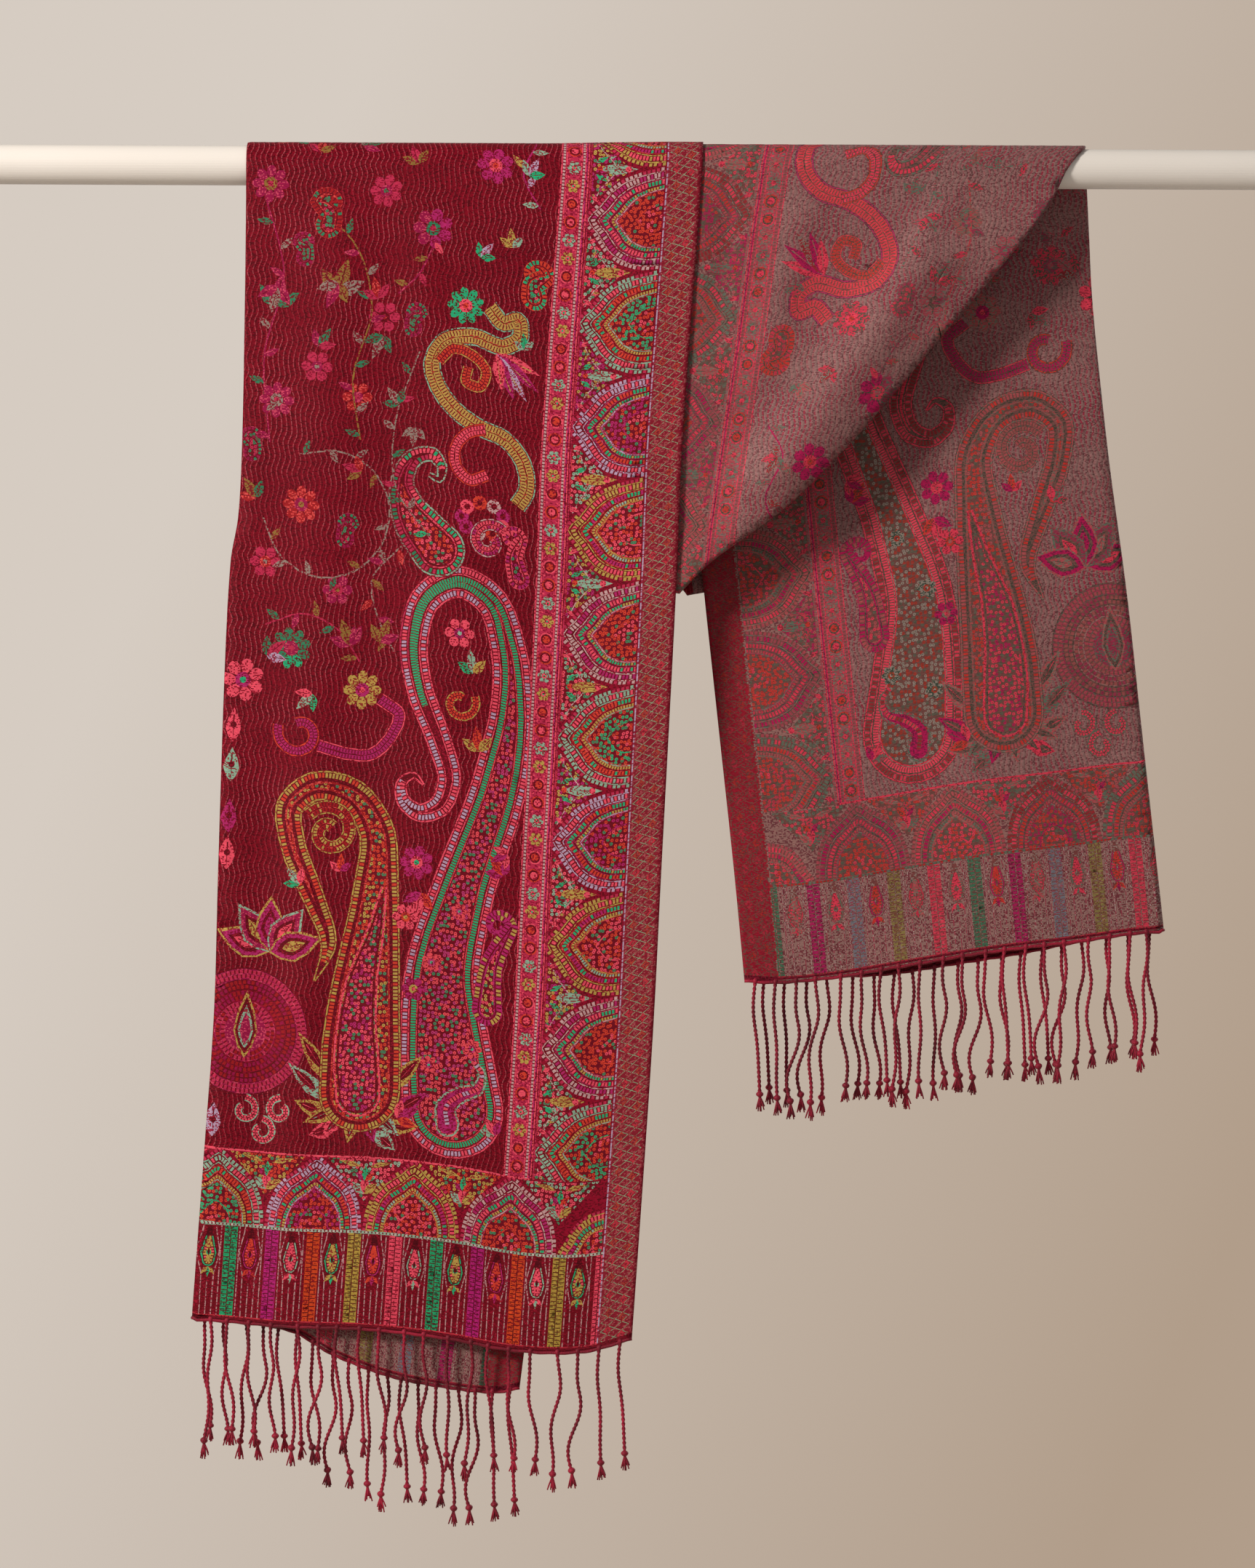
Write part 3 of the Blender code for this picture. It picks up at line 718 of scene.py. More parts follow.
def second_paisley():
    """A broad paisley nearer the fold, in ochre and green, hooked over to a leafy point."""
    for base, tip, yarn in (
        ((226, 172), (252, 208), "ochre"), ((228, 160), (258, 186), "sage"),
        ((226, 150), (252, 160), "ochre"), ((186, 168), (163, 196), "ochre"),
        ((184, 152), (158, 170), "magenta"), ((188, 144), (162, 146), "ochre"),
        ((222, 142), (240, 136), "coral"), ((194, 140), (178, 128), "sage"),
    ):
        base, tip = np.array(base, float), np.array(tip, float)
        leaf(base, tip, 12.0, yarn, None)
        leaf(base + (tip - base) * 0.3, tip - (tip - base) * 0.12, 6.0, "dusk", "coral")
    for lean, yarn in ((-1.15, "ochre"), (-0.75, "sage"), (-0.3, "magenta"), (0.15, "ochre"),
                       (0.6, "coral"), (1.05, "ochre")):
        base = np.array([206 + lean * 9, 158])
        tip = base + 34 * np.array([math.sin(lean), -math.cos(lean) * 0.8])
        leaf(base, tip, 13.0, yarn)
        leaf(base + (tip - base) * 0.3, tip - (tip - base) * 0.12, 5.0, "dusk", "sage")
    spine = through(SECOND_SPINE, 3.0)
    paisley(
        spine, SECOND_WIDTHS, "ochre", ["ochre", "scarlet"],
        "dusk", "scarlet_deep", ["scarlet", "ochre"],
    )
    heart = through([(196, 312), (201, 280), (209, 245), (211, 205), (207, 166)], 3.0)
    widths = [(0, 1), (0.5, 11), (0.85, 15.5), (1, 15)]
    line(tear_sides(heart, widths, -0.5), 1.5, "coral")
    lay(tear_sides(heart, widths, 1.0), "dusk")
    garden(tear_sides(heart, widths, 2.4), "coral", "magenta")
    inner = wound((237, 350), 19, 1.25, 0.6, 1, 0.8)
    scroll(through(inner, 2.5), 4.6, "ochre", "scarlet_deep", "ochre")


def small_paisley(curl_at, body_at, bulb, way, edge, fill):
    """A little paisley with a curled head."""
    curl_at, body_at = np.asarray(curl_at, float), np.asarray(body_at, float)
    curl = wound(curl_at, bulb * 0.9, 1.05, math.pi / 2 - way * 1.4, way, 0.8)[::-1]
    start = curl[-1]
    bow = (start + body_at) / 2 + np.array([way * -bulb * 0.55, 0])
    spine = np.concatenate([curl[:-1], through([start, bow, body_at], 2.5)])
    widths = [(0, 1.0), (0.3, bulb * 0.38), (0.65, bulb * 0.7), (1, bulb)]
    lay(tear_sides(spine, widths, 0.0), edge)
    beads(tear_sides(spine, widths, bulb * 0.2), 2.7, bulb * 0.3, edge, fill)
    line(tear_sides(spine, widths, bulb * 0.42), 0.9, "dusk")
    middle = tear_sides(spine, widths, bulb * 0.55)
    if len(middle) > 13:
        garden(middle, fill, "coral")


def field_figures():
    """The large and small figures of the field."""
    large_paisley()
    second_paisley()
    small_paisley((114, 294), (119, 234), 11.0, -1, "magenta", "ochre")
    small_paisley((118, 566), (112, 540), 8.0, -1, "coral", "magenta")

    tear = through([(178, 604), (171, 601), (169, 609), (176, 618), (189, 615), (197, 599),
                    (193, 580), (182, 564), (170, 552)], 2.5)
    widths = [(0, 1.5), (0.3, 5.5), (0.55, 8.5), (0.8, 16), (1, 19)]
    lay(tear_sides(tear, widths, -1.0), "dusk")
    line(tear_sides(tear, widths, 0.2), 1.2, "sage")
    beads(tear_sides(tear, widths, 3.0), 2.8, 3.2, "coral", "emerald")
    line(tear_sides(tear, widths, 6.0), 1.0, "coral")
    garden(tear_sides(tear, widths, 8.0), "coral", "scarlet")

    scroll(
        through([(143, 726), (132, 716), (122, 720), (120, 708), (129, 700), (154, 704), (174, 698),
                 (181, 683), (175, 665), (161, 650), (145, 641), (124, 634), (111, 619),
                 (109, 601), (115, 590)], 2.5),
        6.2, "scroll_edge", "scroll_band",
    )
    inner = [(176, 684), (167, 694), (153, 691), (142, 680), (146, 669), (156, 672), (155, 682)]
    scroll(through(inner, 2.0), 3.8, "scroll_band", "scarlet")
    lower = [(140, 640), (152, 636), (160, 626), (159, 611), (149, 603), (137, 608)]
    scroll(through(lower, 2.0), 4.2, "scarlet", "coral")
    for tip_in, tip_up, yarn in ((104, 684, "coral"), (104, 672, "magenta"), (112, 664, "lavender"),
                                 (121, 663, "magenta"), (130, 668, "coral")):
        leaf((136, 694), (tip_in, tip_up), 8.5, yarn, "ochre")
    for turn in range(9):
        angle = turn * 0.7
        place = (139 + 15 * math.cos(angle), 577 + 11 * math.sin(angle))
        dot(place, 5.2, ("magenta", "coral", "scarlet", "pink_grey")[turn % 4], 9)
        dot(place, 2.2, "dusk", 6)
    scroll(through(wound((134, 562), 13, 1.0, 2.4, -1, 0.7), 2.0), 4.0, "pink_grey", "coral", "magenta")

    for place, radius, petals, yarns in (
        ((160, 725), 13.0, 9, ("emerald", "coral", "scarlet")),
        ((187, 777), 14.0, 7, ("magenta", "emerald", "coral")),
        ((217, 713), 11.0, 6, ("coral", "dusk", "scarlet")),
        ((271, 477), 14.5, 9, ("emerald", "magenta", "coral")),
        ((304, 452), 15.0, 7, ("coral", "magenta", "emerald")),
        ((152, 495), 10.5, 6, ("coral", "magenta", "sage")),
        ((219, 450), 13.5, 8, ("ochre", "magenta", "coral")),
        ((268, 578), 13.0, 8, ("scarlet", "magenta", "ochre")),
        ((232, 656), 10.5, 6, ("scarlet", "magenta", "coral")),
        ((289, 650), 12.5, 8, ("magenta", "sage", "coral")),
        ((146, 826), 13.0, 7, ("magenta", "coral", "scarlet")),
        ((262, 676), 11.0, 6, ("coral", "magenta", "sage")),
        ((304, 802), 13.0, 8, ("magenta", "ochre", "coral")),
        ((174, 331), 12.0, 7, ("magenta", "coral", "emerald")),
        ((180, 292), 9.5, 6, ("coral", "scarlet", "ochre")),
        ((172, 242), 8.5, 6, ("magenta", "ochre", "coral")),
        ((222, 802), 11.5, 7, ("coral", "magenta", "emerald")),
        ((292, 536), 11.0, 6, ("coral", "scarlet", "sage")),
        ((240, 520), 10.5, 6, ("magenta", "coral", "ochre")),
    ):
        blossom(place, radius, petals, *yarns)

    ring = ring_points((250, 573), 45.0, 30, 0.9)
    for controls, width, stem, leaves, yarns, size in (
        ([(184, 770), (196, 742), (208, 730)], 1.1, "magenta", 4, ("coral", "ochre"), 11.0),
        ([(176, 560), (200, 590), (204, 640), (190, 690)], 1.0, "sage", 7,
         ("emerald", "sage", "coral"), 11.0),
        (ring[1:27:3], 1.2, "pink_grey", 12, ("emerald", "lavender", "sage", "ochre"), 11.0),
        ([(228, 626), (236, 670), (226, 718), (240, 762), (270, 790)], 1.1, "ochre", 11,
         ("emerald", "sage", "magenta"), 12.0),
        ([(292, 620), (300, 680), (290, 740), (306, 790)], 1.1, "magenta", 9,
         ("magenta", "sage", "emerald"), 12.0),
        ([(222, 470), (238, 492), (262, 502), (290, 492)], 1.1, "coral", 6,
         ("ochre", "magenta", "emerald"), 12.0),
        ([(196, 552), (216, 528), (210, 500), (198, 478)], 1.1, "sage", 6,
         ("scarlet", "magenta", "ochre"), 12.0),
        ([(112, 800), (126, 822), (118, 850), (138, 880), (170, 892)], 1.1, "magenta", 9,
         ("sage", "lavender", "ochre"), 12.0),
        ([(300, 836), (262, 856), (238, 896)], 1.1, "scarlet", 8, ("ochre", "emerald", "coral"), 12.0),
    ):
        vine(controls, width, stem, leaves, yarns, size)
    hook = [(206, 444), (200, 440), (193, 436), (198, 416), (210, 405), (228, 405), (248, 410)]
    scroll(through(hook, 2.5), 4.4, "coral", "magenta")
    scroll(through(wound((262, 418), 16, 0.85, 0.3, -1, 0.55), 2.5), 3.8, "scarlet", "magenta")
    scroll(through(wound((149, 446), 12, 0.9, 2.6, 1, 0.6), 2.0), 3.0, "ochre", "scarlet")
    for place, size, turn, yarns in (
        ((122, 822), 15, 2.0, ("sage", "lavender", "emerald")),
        ((217, 700), 18, -1.2, ("emerald", "sage", "emerald")),
        ((222, 726), 16, 1.3, ("coral", "scarlet", "coral")),
        ((251, 728), 26, 1.8, ("ochre", "ochre", "sage")),
        ((251, 736), 20, -1.2, ("ochre", "magenta", "sage")),
        ((294, 716), 24, 1.7, ("emerald", "magenta", "emerald")),
        ((294, 730), 20, -1.4, ("magenta", "sage", "magenta")),
        ((202, 652), 15, 0.9, ("emerald", "sage", "emerald")),
        ((190, 636), 14, -1.5, ("lavender", "sage", "lavender")),
        ((226, 604), 15, 0.3, ("ochre", "coral", "scarlet")),
        ((141, 468), 17, 1.4, ("emerald", "sage", "ochre")),
        ((134, 414), 18, 1.4, ("ochre", "scarlet", "ochre")),
        ((229, 481), 20, 1.2, ("magenta", "ochre", "magenta")),
        ((208, 484), 18, 1.9, ("ochre", "ochre", "magenta")),
        ((300, 580), 17, 1.0, ("scarlet", "ochre", "emerald")),
        ((170, 310), 18, -1.4, ("scarlet", "coral", "magenta")),
        ((112, 330), 17, 0.9, ("magenta", "scarlet", "magenta")),
        ((110, 346), 14, -0.6, ("coral", "magenta", "coral")),
        ((178, 150), 18, 2.6, ("coral", "magenta", "scarlet")),
        ((108, 148), 14, 1.0, ("sage", "coral", "magenta")),
        ((262, 690), 16, 2.1, ("magenta", "emerald", "coral")),
        ((200, 822), 16, 1.2, ("ochre", "coral", "ochre")),
        ((240, 836), 17, 2.7, ("sage", "emerald", "magenta")),
        ((176, 852), 18, 0.4, ("lavender", "sage", "coral")),
        ((270, 828), 16, 1.7, ("coral", "scarlet", "ochre")),
        ((122, 900), 16, 1.2, ("sage", "magenta", "emerald")),
        ((196, 920), 18, 2.2, ("coral", "ochre", "scarlet")),
        ((300, 906), 17, 1.8, ("magenta", "sage", "coral")),
        ((288, 470), 18, 2.4, ("emerald", "coral", "lavender")),
        ((254, 446), 16, -0.8, ("emerald", "sage", "coral")),
        ((130, 770), 14, 1.4, ("ochre", "ochre", "sage")),
        ((152, 760), 14, 2.2, ("emerald", "lavender", "emerald")),
        ((116, 700), 12, 1.4, ("sage", "emerald", "sage")),
        ((256, 312), 15, 0.8, ("emerald", "sage", "coral")),
        ((228, 322), 13, 1.6, ("coral", "scarlet", "magenta")),
    ):
        sprig(place, size, turn, yarns)
    larger = ((261, 776, 1), (112, 738, -1), (206, 880, -1), (156, 930, 1), (262, 936, -1))
    for middle_in, up, way in larger:
        small_paisley((middle_in, up + 15), (middle_in, up), 9.5, way, "scarlet", "emerald")
    for middle_in, up, way in ((196, 706, -1), (236, 556, -1), (304, 612, 1), (276, 752, 1)):
        small_paisley((middle_in, up + 10), (middle_in, up), 6.5, way, "magenta", "emerald")


# Yarns that show less strongly on the right side, for the quieter figures of the upper field
QUIET = {
    "coral": "rose", "magenta": "magenta_deep", "scarlet": "scarlet_deep", "ochre": "ochre_dim",
    "emerald": "emerald_dim", "sage": "sage_dim", "pink_grey": "sage_dim", "lavender": "sage_dim",
}


QUIET_IN = 185
QUIET_UP = 470


def quieten(first):
    """Softens the yarns of figures near the fold, from one figure of the drawing on."""
    for number in range(first, len(drawing)):
        points, yarn, path = drawing[number]
        middle = points.mean(axis=0)
        if middle[0] > QUIET_IN and middle[1] > QUIET_UP:
            parts = [QUIET.get(part, part) for part in yarn.split(":")]
            drawing[number] = (points, ":".join(parts), path)


def fold_figures():
    """The figures on the lengthwise fold: a dome of beaded rows, petals and a stalk."""
    middle = np.array([290.0, 205.0])
    dot(middle, 45, "dusk", 40)
    for radius, yarn, rim_yarns in (
        (44.0, "magenta_deep", ("rose", "dusk")),
        (36.5, "dusk", ("scarlet_deep", "magenta_deep")),
        (29.0, "crimson", ("magenta_deep", "scarlet_deep")),
        (21.5, "magenta_deep", ("rose", "scarlet_deep")),
    ):
        dot(middle, radius, yarn, 36)
        for inset in (1.9, 5.2):
            rim = ring_points(middle, radius - inset, 28)
            beads(np.concatenate([rim, rim[:1]]), 3.1, 2.5, *rim_yarns, inset)
    for width, yarn in ((17, "ochre"), (14.5, "dusk"), (11, "sage"), (8, "magenta_deep")):
        leaf(middle - [0, width * 1.1], middle + [0, width * 1.7], width, yarn, None)
    for number in range(5):
        angle = math.pi / 2 + (number - 2) * 0.62
        base = np.array([276.0, 262.0])
        ahead = np.array([math.cos(angle), math.sin(angle)])
        leaf(base, base + 40 * ahead, 22, ("ochre", "sage", "ochre", "sage", "ochre")[number], None)
        leaf(base + 1.5 * ahead, base + 37 * ahead, 19, ("magenta", "magenta_deep")[number % 2], None)
        leaf(base + 6 * ahead, base + 31 * ahead, 13, "dusk", None)
        leaf(base + 10 * ahead, base + 27 * ahead, 8, ("coral", "ochre", "magenta")[number % 3])
    for level, yarn in ((142, "lavender"), (330, "coral"), (356, "magenta"), (392, "sage"), (420, "coral")):
        leaf((309, level - 12), (309, level + 12), 11, yarn)
        dot((309, level), 2.4, "dusk")
    for place, way in (((287, 150), 1), ((262, 152), -1), ((274, 136), 1)):
        curl = wound(place, 9, 0.9, math.pi / 2, way, 0.6)
        scroll(through(curl, 2.0), 2.6, "sage", "coral")


def draw_shawl():
    """The whole brocade, from the ground up to its smallest figures."""
    lay([(-1, -1), (DRAWN_IN, -1), (DRAWN_IN, DRAWN_UP), (-1, DRAWN_UP)], "ground")
    fold_figures()
    first = len(drawing)
    field_figures()
    quieten(first)
    medallion_column(DRAWN_UP)
    roundel_column(DRAWN_UP)
    arch_row()
    dome((MEDALLION_IN, BAND_TOP), 30.0, 30.0, 2)
    striped_band()
    lattice_column(DRAWN_UP)
    lay([(0, 0), (LATTICE_IN, 0), (LATTICE_IN, 5), (0, 5)], "hem")


draw_shawl()

# Colours

def linear(hex_colour):
    """An sRGB hex colour as linear red, green and blue."""
    parts = [int(hex_colour[at:at + 2], 16) / 255 for at in (1, 3, 5)]
    return tuple(
        part / 12.92 if part <= 0.04045 else ((part + 0.055) / 1.055) ** 2.4 for part in parts
    )


# A yarn: its colour, the colour that shows through it, how much does, and its pattern
Yarn = namedtuple("Yarn", "colour fleck share pattern")
PLAIN = 0.0
WAVES = 1.0
STREWN = 2.0
BEADED = 3.0
MIXED_SHARE = 0.42

# Each yarn's colour, showing colour and share on the right side, then on the reverse
YARNS = {
    "ground": ("#860720", "#640416", 0.30, "#9a7472", "#7c4c50", 0.24),
    "dark_ground": ("#6a0718", "#8d1028", 0.22, "#8c6a66", "#6e343c", 0.36),
    "dusk": ("#5f0816", "#8b1228", 0.25, "#6c4a46", "#46423a", 0.34),
    "deep": ("#4c0612", "#6c0a1b", 0.20, "#74403f", "#86706a", 0.30),
    "coral": ("#df4c62", "#8a1027", 0.24, "#cc3a50", "#8c2a38", 0.24),
    "magenta": ("#aa2464", "#7d0d2c", 0.30, "#a41a4e", "#702040", 0.24),
    "magenta_deep": ("#8f1242", "#c24460", 0.26, "#8c3248", "#5c5650", 0.34),
    "scarlet": ("#c83c2c", "#8a1027", 0.28, "#b83430", "#6c3a30", 0.26),
    "scarlet_deep": ("#98191f", "#cf4a48", 0.30, "#904c4c", "#6c5c54", 0.34),
    "ochre": ("#b0934a", "#8a2a28", 0.30, "#a04c50", "#746a60", 0.34),
    "emerald": ("#27a272", "#4f2420", 0.24, "#b83448", "#4c4c42", 0.30),
    "sage": ("#86a894", "#8a2a33", 0.30, "#5c665a", "#943c48", 0.36),
    "lavender": ("#b096b2", "#8f2440", 0.32, "#8c2a30", "#7c6c66", 0.34),
    "pink_grey": ("#bb9698", "#8a1c2e", 0.32, "#94444e", "#6c6a60", 0.36),
    "pale": ("#b3b0a8", "#8a4a50", 0.25, "#a02626", "#6c2626", 0.25),
    "selvedge": ("#841a2c", "#a04a50", 0.28, "#8c1a2c", "#6c403c", 0.30),
    "sage_dull": ("#839c7e", "#7c3a36", 0.30, "#744440", "#8c1a2c", 0.32),
    "coral_dull": ("#b8303f", "#7c1a28", 0.25, "#a02a3a", "#6c3434", 0.28),
    "scarlet_dull": ("#a53a30", "#7c1a28", 0.30, "#982c2a", "#6c3434", 0.30),
    "hem": ("#741022", "#5a0918", 0.30, "#6c1226", "#4a0a16", 0.30),
    "emerald_dim": ("#2f7858", "#6c1a24", 0.34, "#b83448", "#4c4c42", 0.30),
    "ochre_dim": ("#8c6a34", "#7c1a24", 0.36, "#a83c44", "#6c6254", 0.32),
    "sage_dim": ("#8c7c74", "#7c1a2a", 0.42, "#5c665a", "#943c48", 0.40),
    "crimson": ("#8a0a28", "#62061a", 0.30, "#8c6662", "#6c3a40", 0.36),
    "scroll_edge": ("#7fae94", "#5a2a2c", 0.28, "#a8285a", "#6c2a44", 0.24),
    "scroll_band": ("#b4924c", "#b0402c", 0.34, "#c83c48", "#8c4444", 0.26),
    "rose": ("#b42a4c", "#84102e", 0.26, "#9c444e", "#746460", 0.36),
    "stripe": ("#b0888a", "#7d2234", 0.38, "#8a3a48", "#a08884", 0.36),
    "paisley_fill": ("#6c0a1c", "#94142e", 0.25, "#cc384c", "#a82a3c", 0.25),
    "paisley_green": ("#27a272", "#4f2420", 0.24, "#d84258", "#a82a3c", 0.20),
    "bloom": ("#dc4a56", "#8a1027", 0.22, "#847a72", "#3c4a40", 0.40),
    "bloom_green": ("#4aa886", "#5a2a28", 0.26, "#948a80", "#4c2a30", 0.38),
    "bloom_pink": ("#b4386e", "#7d0d2c", 0.26, "#983228", "#6c5038", 0.30),
    "bar_coral": ("#dc4860", "#a02038", 0.22, "#406c54", "#54443e", 0.34),
    "bar_ochre": ("#a88c3e", "#6f5a2a", 0.25, "#9c2054", "#642036", 0.28),
    "bar_orange": ("#c4431f", "#8f1c1c", 0.24, "#6c6c76", "#844452", 0.36),
    "bar_magenta": ("#a81e6e", "#7d1040", 0.25, "#807044", "#6c4436", 0.34),
    "bar_green": ("#259a68", "#2c4a38", 0.28, "#c03a4e", "#8c303e", 0.26),
}


def side_yarns(first):
    """The yarns of one side of the cloth, from its first column in the table."""
    return {
        name: Yarn(*row[first:first + 3], WAVES if name == "ground" else PLAIN)
        for name, row in YARNS.items()
    }


RIGHT_SIDE = side_yarns(0)
REVERSE_SIDE = side_yarns(3)


def palette_yarn(palette, name):
    """A yarn of a palette by its name, also where two of them are mixed."""
    if ":" not in name:
        return palette[name]
    pattern, first, second = name.split(":")
    code = BEADED if pattern == "beads" else STREWN
    return Yarn(palette[first].colour, palette[second].colour, MIXED_SHARE, code)


# Cutting the cloth along its drawing

Layer = namedtuple("Layer", "name stretch outer offset mirrored_up flat area right_is_out drawn_to fringe")
GRID = 9.0
BEND_SHARES = (0.0, 0.17, 0.34)
BEND_ROW_STEP = 6.0
ROD_ROW_STEP = 2.7
EDGE_STEP = 5.0
EDGE_ROWS = 150
# Figures are straightened within this distance, and points closer than the next are merged
STRAIGHT_WITHIN = 0.4
MERGED_WITHIN = 0.05
# The longest side of a figure's edge, by whether the figure reaches the rod
NEAR_ROD_UP = 900
LONGEST_NEAR_ROD = 6.0
LONGEST = 18.0
WHOLE_CLOTH = 250
# How far up the flat cloth the rod's top lies, for a stretch that hangs beyond it
ROD_TOP_UP = {"rear_flap": 850.0, "turned_flap": 590.0}
FIRST_GUESS_OF_DROP = 300.0
YARN_NAMES = sorted({yarn for _, yarn, _ in drawing})


def layer_width(stretch, outer, drop):
    """The width of one layer at a drop, from its own edge to the fold."""
    drop = np.maximum(drop, 0.0)
    edge = read(stretch.sections, "edge" if outer else "inner_edge", drop)
    return np.abs(read(stretch.sections, "fold", drop) - edge)


def layer_share(layer, across, drop):
    """The share of the section at a distance across a layer."""
    stretch = STRETCHES[layer.stretch]
    width = layer_width(stretch, layer.outer, drop)
    share = across / width
    past = 1 + 0.5 * np.clip((across - width) / BEND, 0, 1)
    share = np.where(share > 1, past, share)
    return share if layer.outer else 3 - share


def hem_drop(layer, across, drop):
    stretch = STRETCHES[layer.stretch]
    return read(stretch.hem, "drop", layer_share(layer, across, drop))


def layer_drop(layer, across, up):
    """The drop at a place of the flat layer, by steps because the hem isn't level."""
    if layer.mirrored_up:
        return up - ROD_TOP_UP[layer.stretch] - ARC
    drop = np.full_like(across, FIRST_GUESS_OF_DROP)
    for _ in range(4):
        drop = hem_drop(layer, across, drop) - up
    return drop


def layer_edge(layer):
    """The layer's own edge on the flat cloth, as a closed row of points."""
    stretch = STRETCHES[layer.stretch]
    rise = np.linspace(0, 1, EDGE_ROWS)

    def upright(at_fold):
        share = 1.5 if at_fold else (0.0 if layer.outer else 3.0)
        low = float(read(stretch.hem, "drop", share))
        if layer.mirrored_up:
            drop = low - (low + ARC) * rise
            up = ROD_TOP_UP[layer.stretch] + ARC + drop
        else:
            up = (low + ARC) * rise
            drop = low - up
        across = layer_width(stretch, layer.outer, drop) + BEND if at_fold else np.zeros_like(drop)
        return np.stack([across, up], axis=1)

    def between(near, far):
        across = np.linspace(0, 1, max(int(far[0] / EDGE_STEP), 6) + 1)[1:-1]
        return near + (far - near) * across[:, None], across if layer.outer else 3 - across

    selvedge, fold = upright(False), upright(True)
    foot, foot_share = between(selvedge[0], fold[0])
    head, head_share = between(selvedge[-1], fold[-1])
    if layer.mirrored_up:
        hem = read(stretch.hem, "drop", np.clip(foot_share, 0, 3))
        foot[:, 1] = ROD_TOP_UP[layer.stretch] + ARC + hem
    else:
        head[:, 1] = read(stretch.hem, "drop", head_share) + ARC
    return np.concatenate([foot, fold, head[::-1], selvedge[::-1]])


def straightened(corners):
    """A figure's corners without those that lie almost on a line between others."""
    far = int(np.linalg.norm(corners - corners[0], axis=1).argmax())
    closed = np.concatenate([corners, corners[:1]])
    kept = {0, far}
    spans = [(0, far), (far, len(corners))]
    while spans:
        first, last = spans.pop()
        if last - first < 2:
            continue
        step = closed[last] - closed[first]
        away = closed[first + 1:last] - closed[first]
        gap = np.abs(away[:, 0] * step[1] - away[:, 1] * step[0]) / max(np.hypot(*step), 1e-9)
        if gap.max() > STRAIGHT_WITHIN:
            middle = first + 1 + int(gap.argmax())
            kept.add(middle)
            spans += [(first, middle), (middle, last)]
    return corners[sorted(kept)] if len(kept) > 2 else corners


def close_set(corners, longest):
    """A figure's corners with more points along its long sides, to follow the cloth."""
    ahead = np.roll(corners, -1, axis=0) - corners
    parts = np.maximum(np.ceil(np.hypot(ahead[:, 0], ahead[:, 1]) / longest), 1).astype(int)
    if parts.max() == 1:
        return corners
    return np.concatenate([
        corner + step * np.arange(count)[:, None] / count
        for corner, step, count in zip(corners, ahead, parts)
    ])


def grid_points(layer, low, high):
    """Even points for the layer's mesh, closer set where it goes over the rod."""
    across = np.arange(low[0] + GRID / 2, high[0], GRID)
    up = np.arange(low[1] + GRID / 2, high[1], GRID)
    on_rod = low[1] if layer.mirrored_up else high[1] - ARC
    rows = np.concatenate([up, on_rod + np.arange(0, ARC + 10, ROD_ROW_STEP)])
    return np.stack(np.meshgrid(across, rows), axis=-1).reshape(-1, 2)


def bend_points(layer, low, high):
    """Rows of points along the fold, one for each share of its bend."""
    rows = np.arange(low[1] + 2, high[1], BEND_ROW_STEP)
    drop = layer_drop(layer, np.full_like(rows, 200.0), rows)
    width = layer_width(STRETCHES[layer.stretch], layer.outer, drop)
    return [np.stack([width + BEND * share * 2, rows], axis=1) for share in BEND_SHARES]


def cut_layer(layer, drawn_to):
    """The layer's flat points, its triangles, each one's yarn and its corners' bead places."""
    edge = layer_edge(layer)
    low, high = edge.min(axis=0), edge.max(axis=0)
    points = [tuple(point) for point in edge]
    edges = [(at, (at + 1) % len(edge)) for at in range(len(edge))]
    for row in [grid_points(layer, low, high), *bend_points(layer, low, high)]:
        points += [tuple(point) for point in row[inside(row, edge)]]
    offset = np.array([layer.offset, 0.0])
    figures = []
    for corners, yarn, path in drawing:
        corners = corners - offset
        figure_low, figure_high = corners.min(axis=0), corners.max(axis=0)
        beside = (figure_high < low).any() or (figure_low > high).any()
        if beside or figure_low[1] > drawn_to:
            continue
        corners = straightened(corners)
        figures.append((corners, yarn, path and (path[0] - offset, path[1])))
        if len(corners) == 4 and (figure_high - figure_low > WHOLE_CLOTH).all():
            continue
        corners = close_set(corners, LONGEST_NEAR_ROD if figure_high[1] > NEAR_ROD_UP else LONGEST)
        first = len(points)
        points += [tuple(point) for point in corners]
        edges += [(first + at, first + (at + 1) % len(corners)) for at in range(len(corners))]
    made = delaunay_2d_cdt([Vector(point) for point in points], edges, [], 0, MERGED_WITHIN, False)
    flat = np.array([tuple(vertex) for vertex in made[0]])
    faces = np.array(made[2], dtype=np.int64)
    middles = flat[faces].mean(axis=1)
    kept = inside_chunks(middles, edge)
    faces, middles = faces[kept], middles[kept]
    yarns, along = paint(flat, faces, middles, figures)
    return flat, faces, yarns, along


def inside_chunks(points, corners, size=4000):
    """Which points lie within a figure, tested a few at a time to spare memory."""
    if not len(points):
        return np.zeros(0, dtype=bool)
    found = [inside(points[at:at + size], corners) for at in range(0, len(points), size)]
    return np.concatenate(found)


def along_path(points, path, counts):
    """How many beads lie between a path's start and the place on it nearest each point."""
    start, step = path[:-1], np.diff(path, axis=0)
    share = ((points[:, None] - start) * step).sum(axis=2) / (step ** 2).sum(axis=1)
    share = np.clip(share, 0.0, 1.0)
    away = np.linalg.norm(points[:, None] - start - step * share[..., None], axis=2)
    nearest = away.argmin(axis=1)
    share = share[np.arange(len(points)), nearest]
    return counts[nearest] + share * np.diff(counts)[nearest]


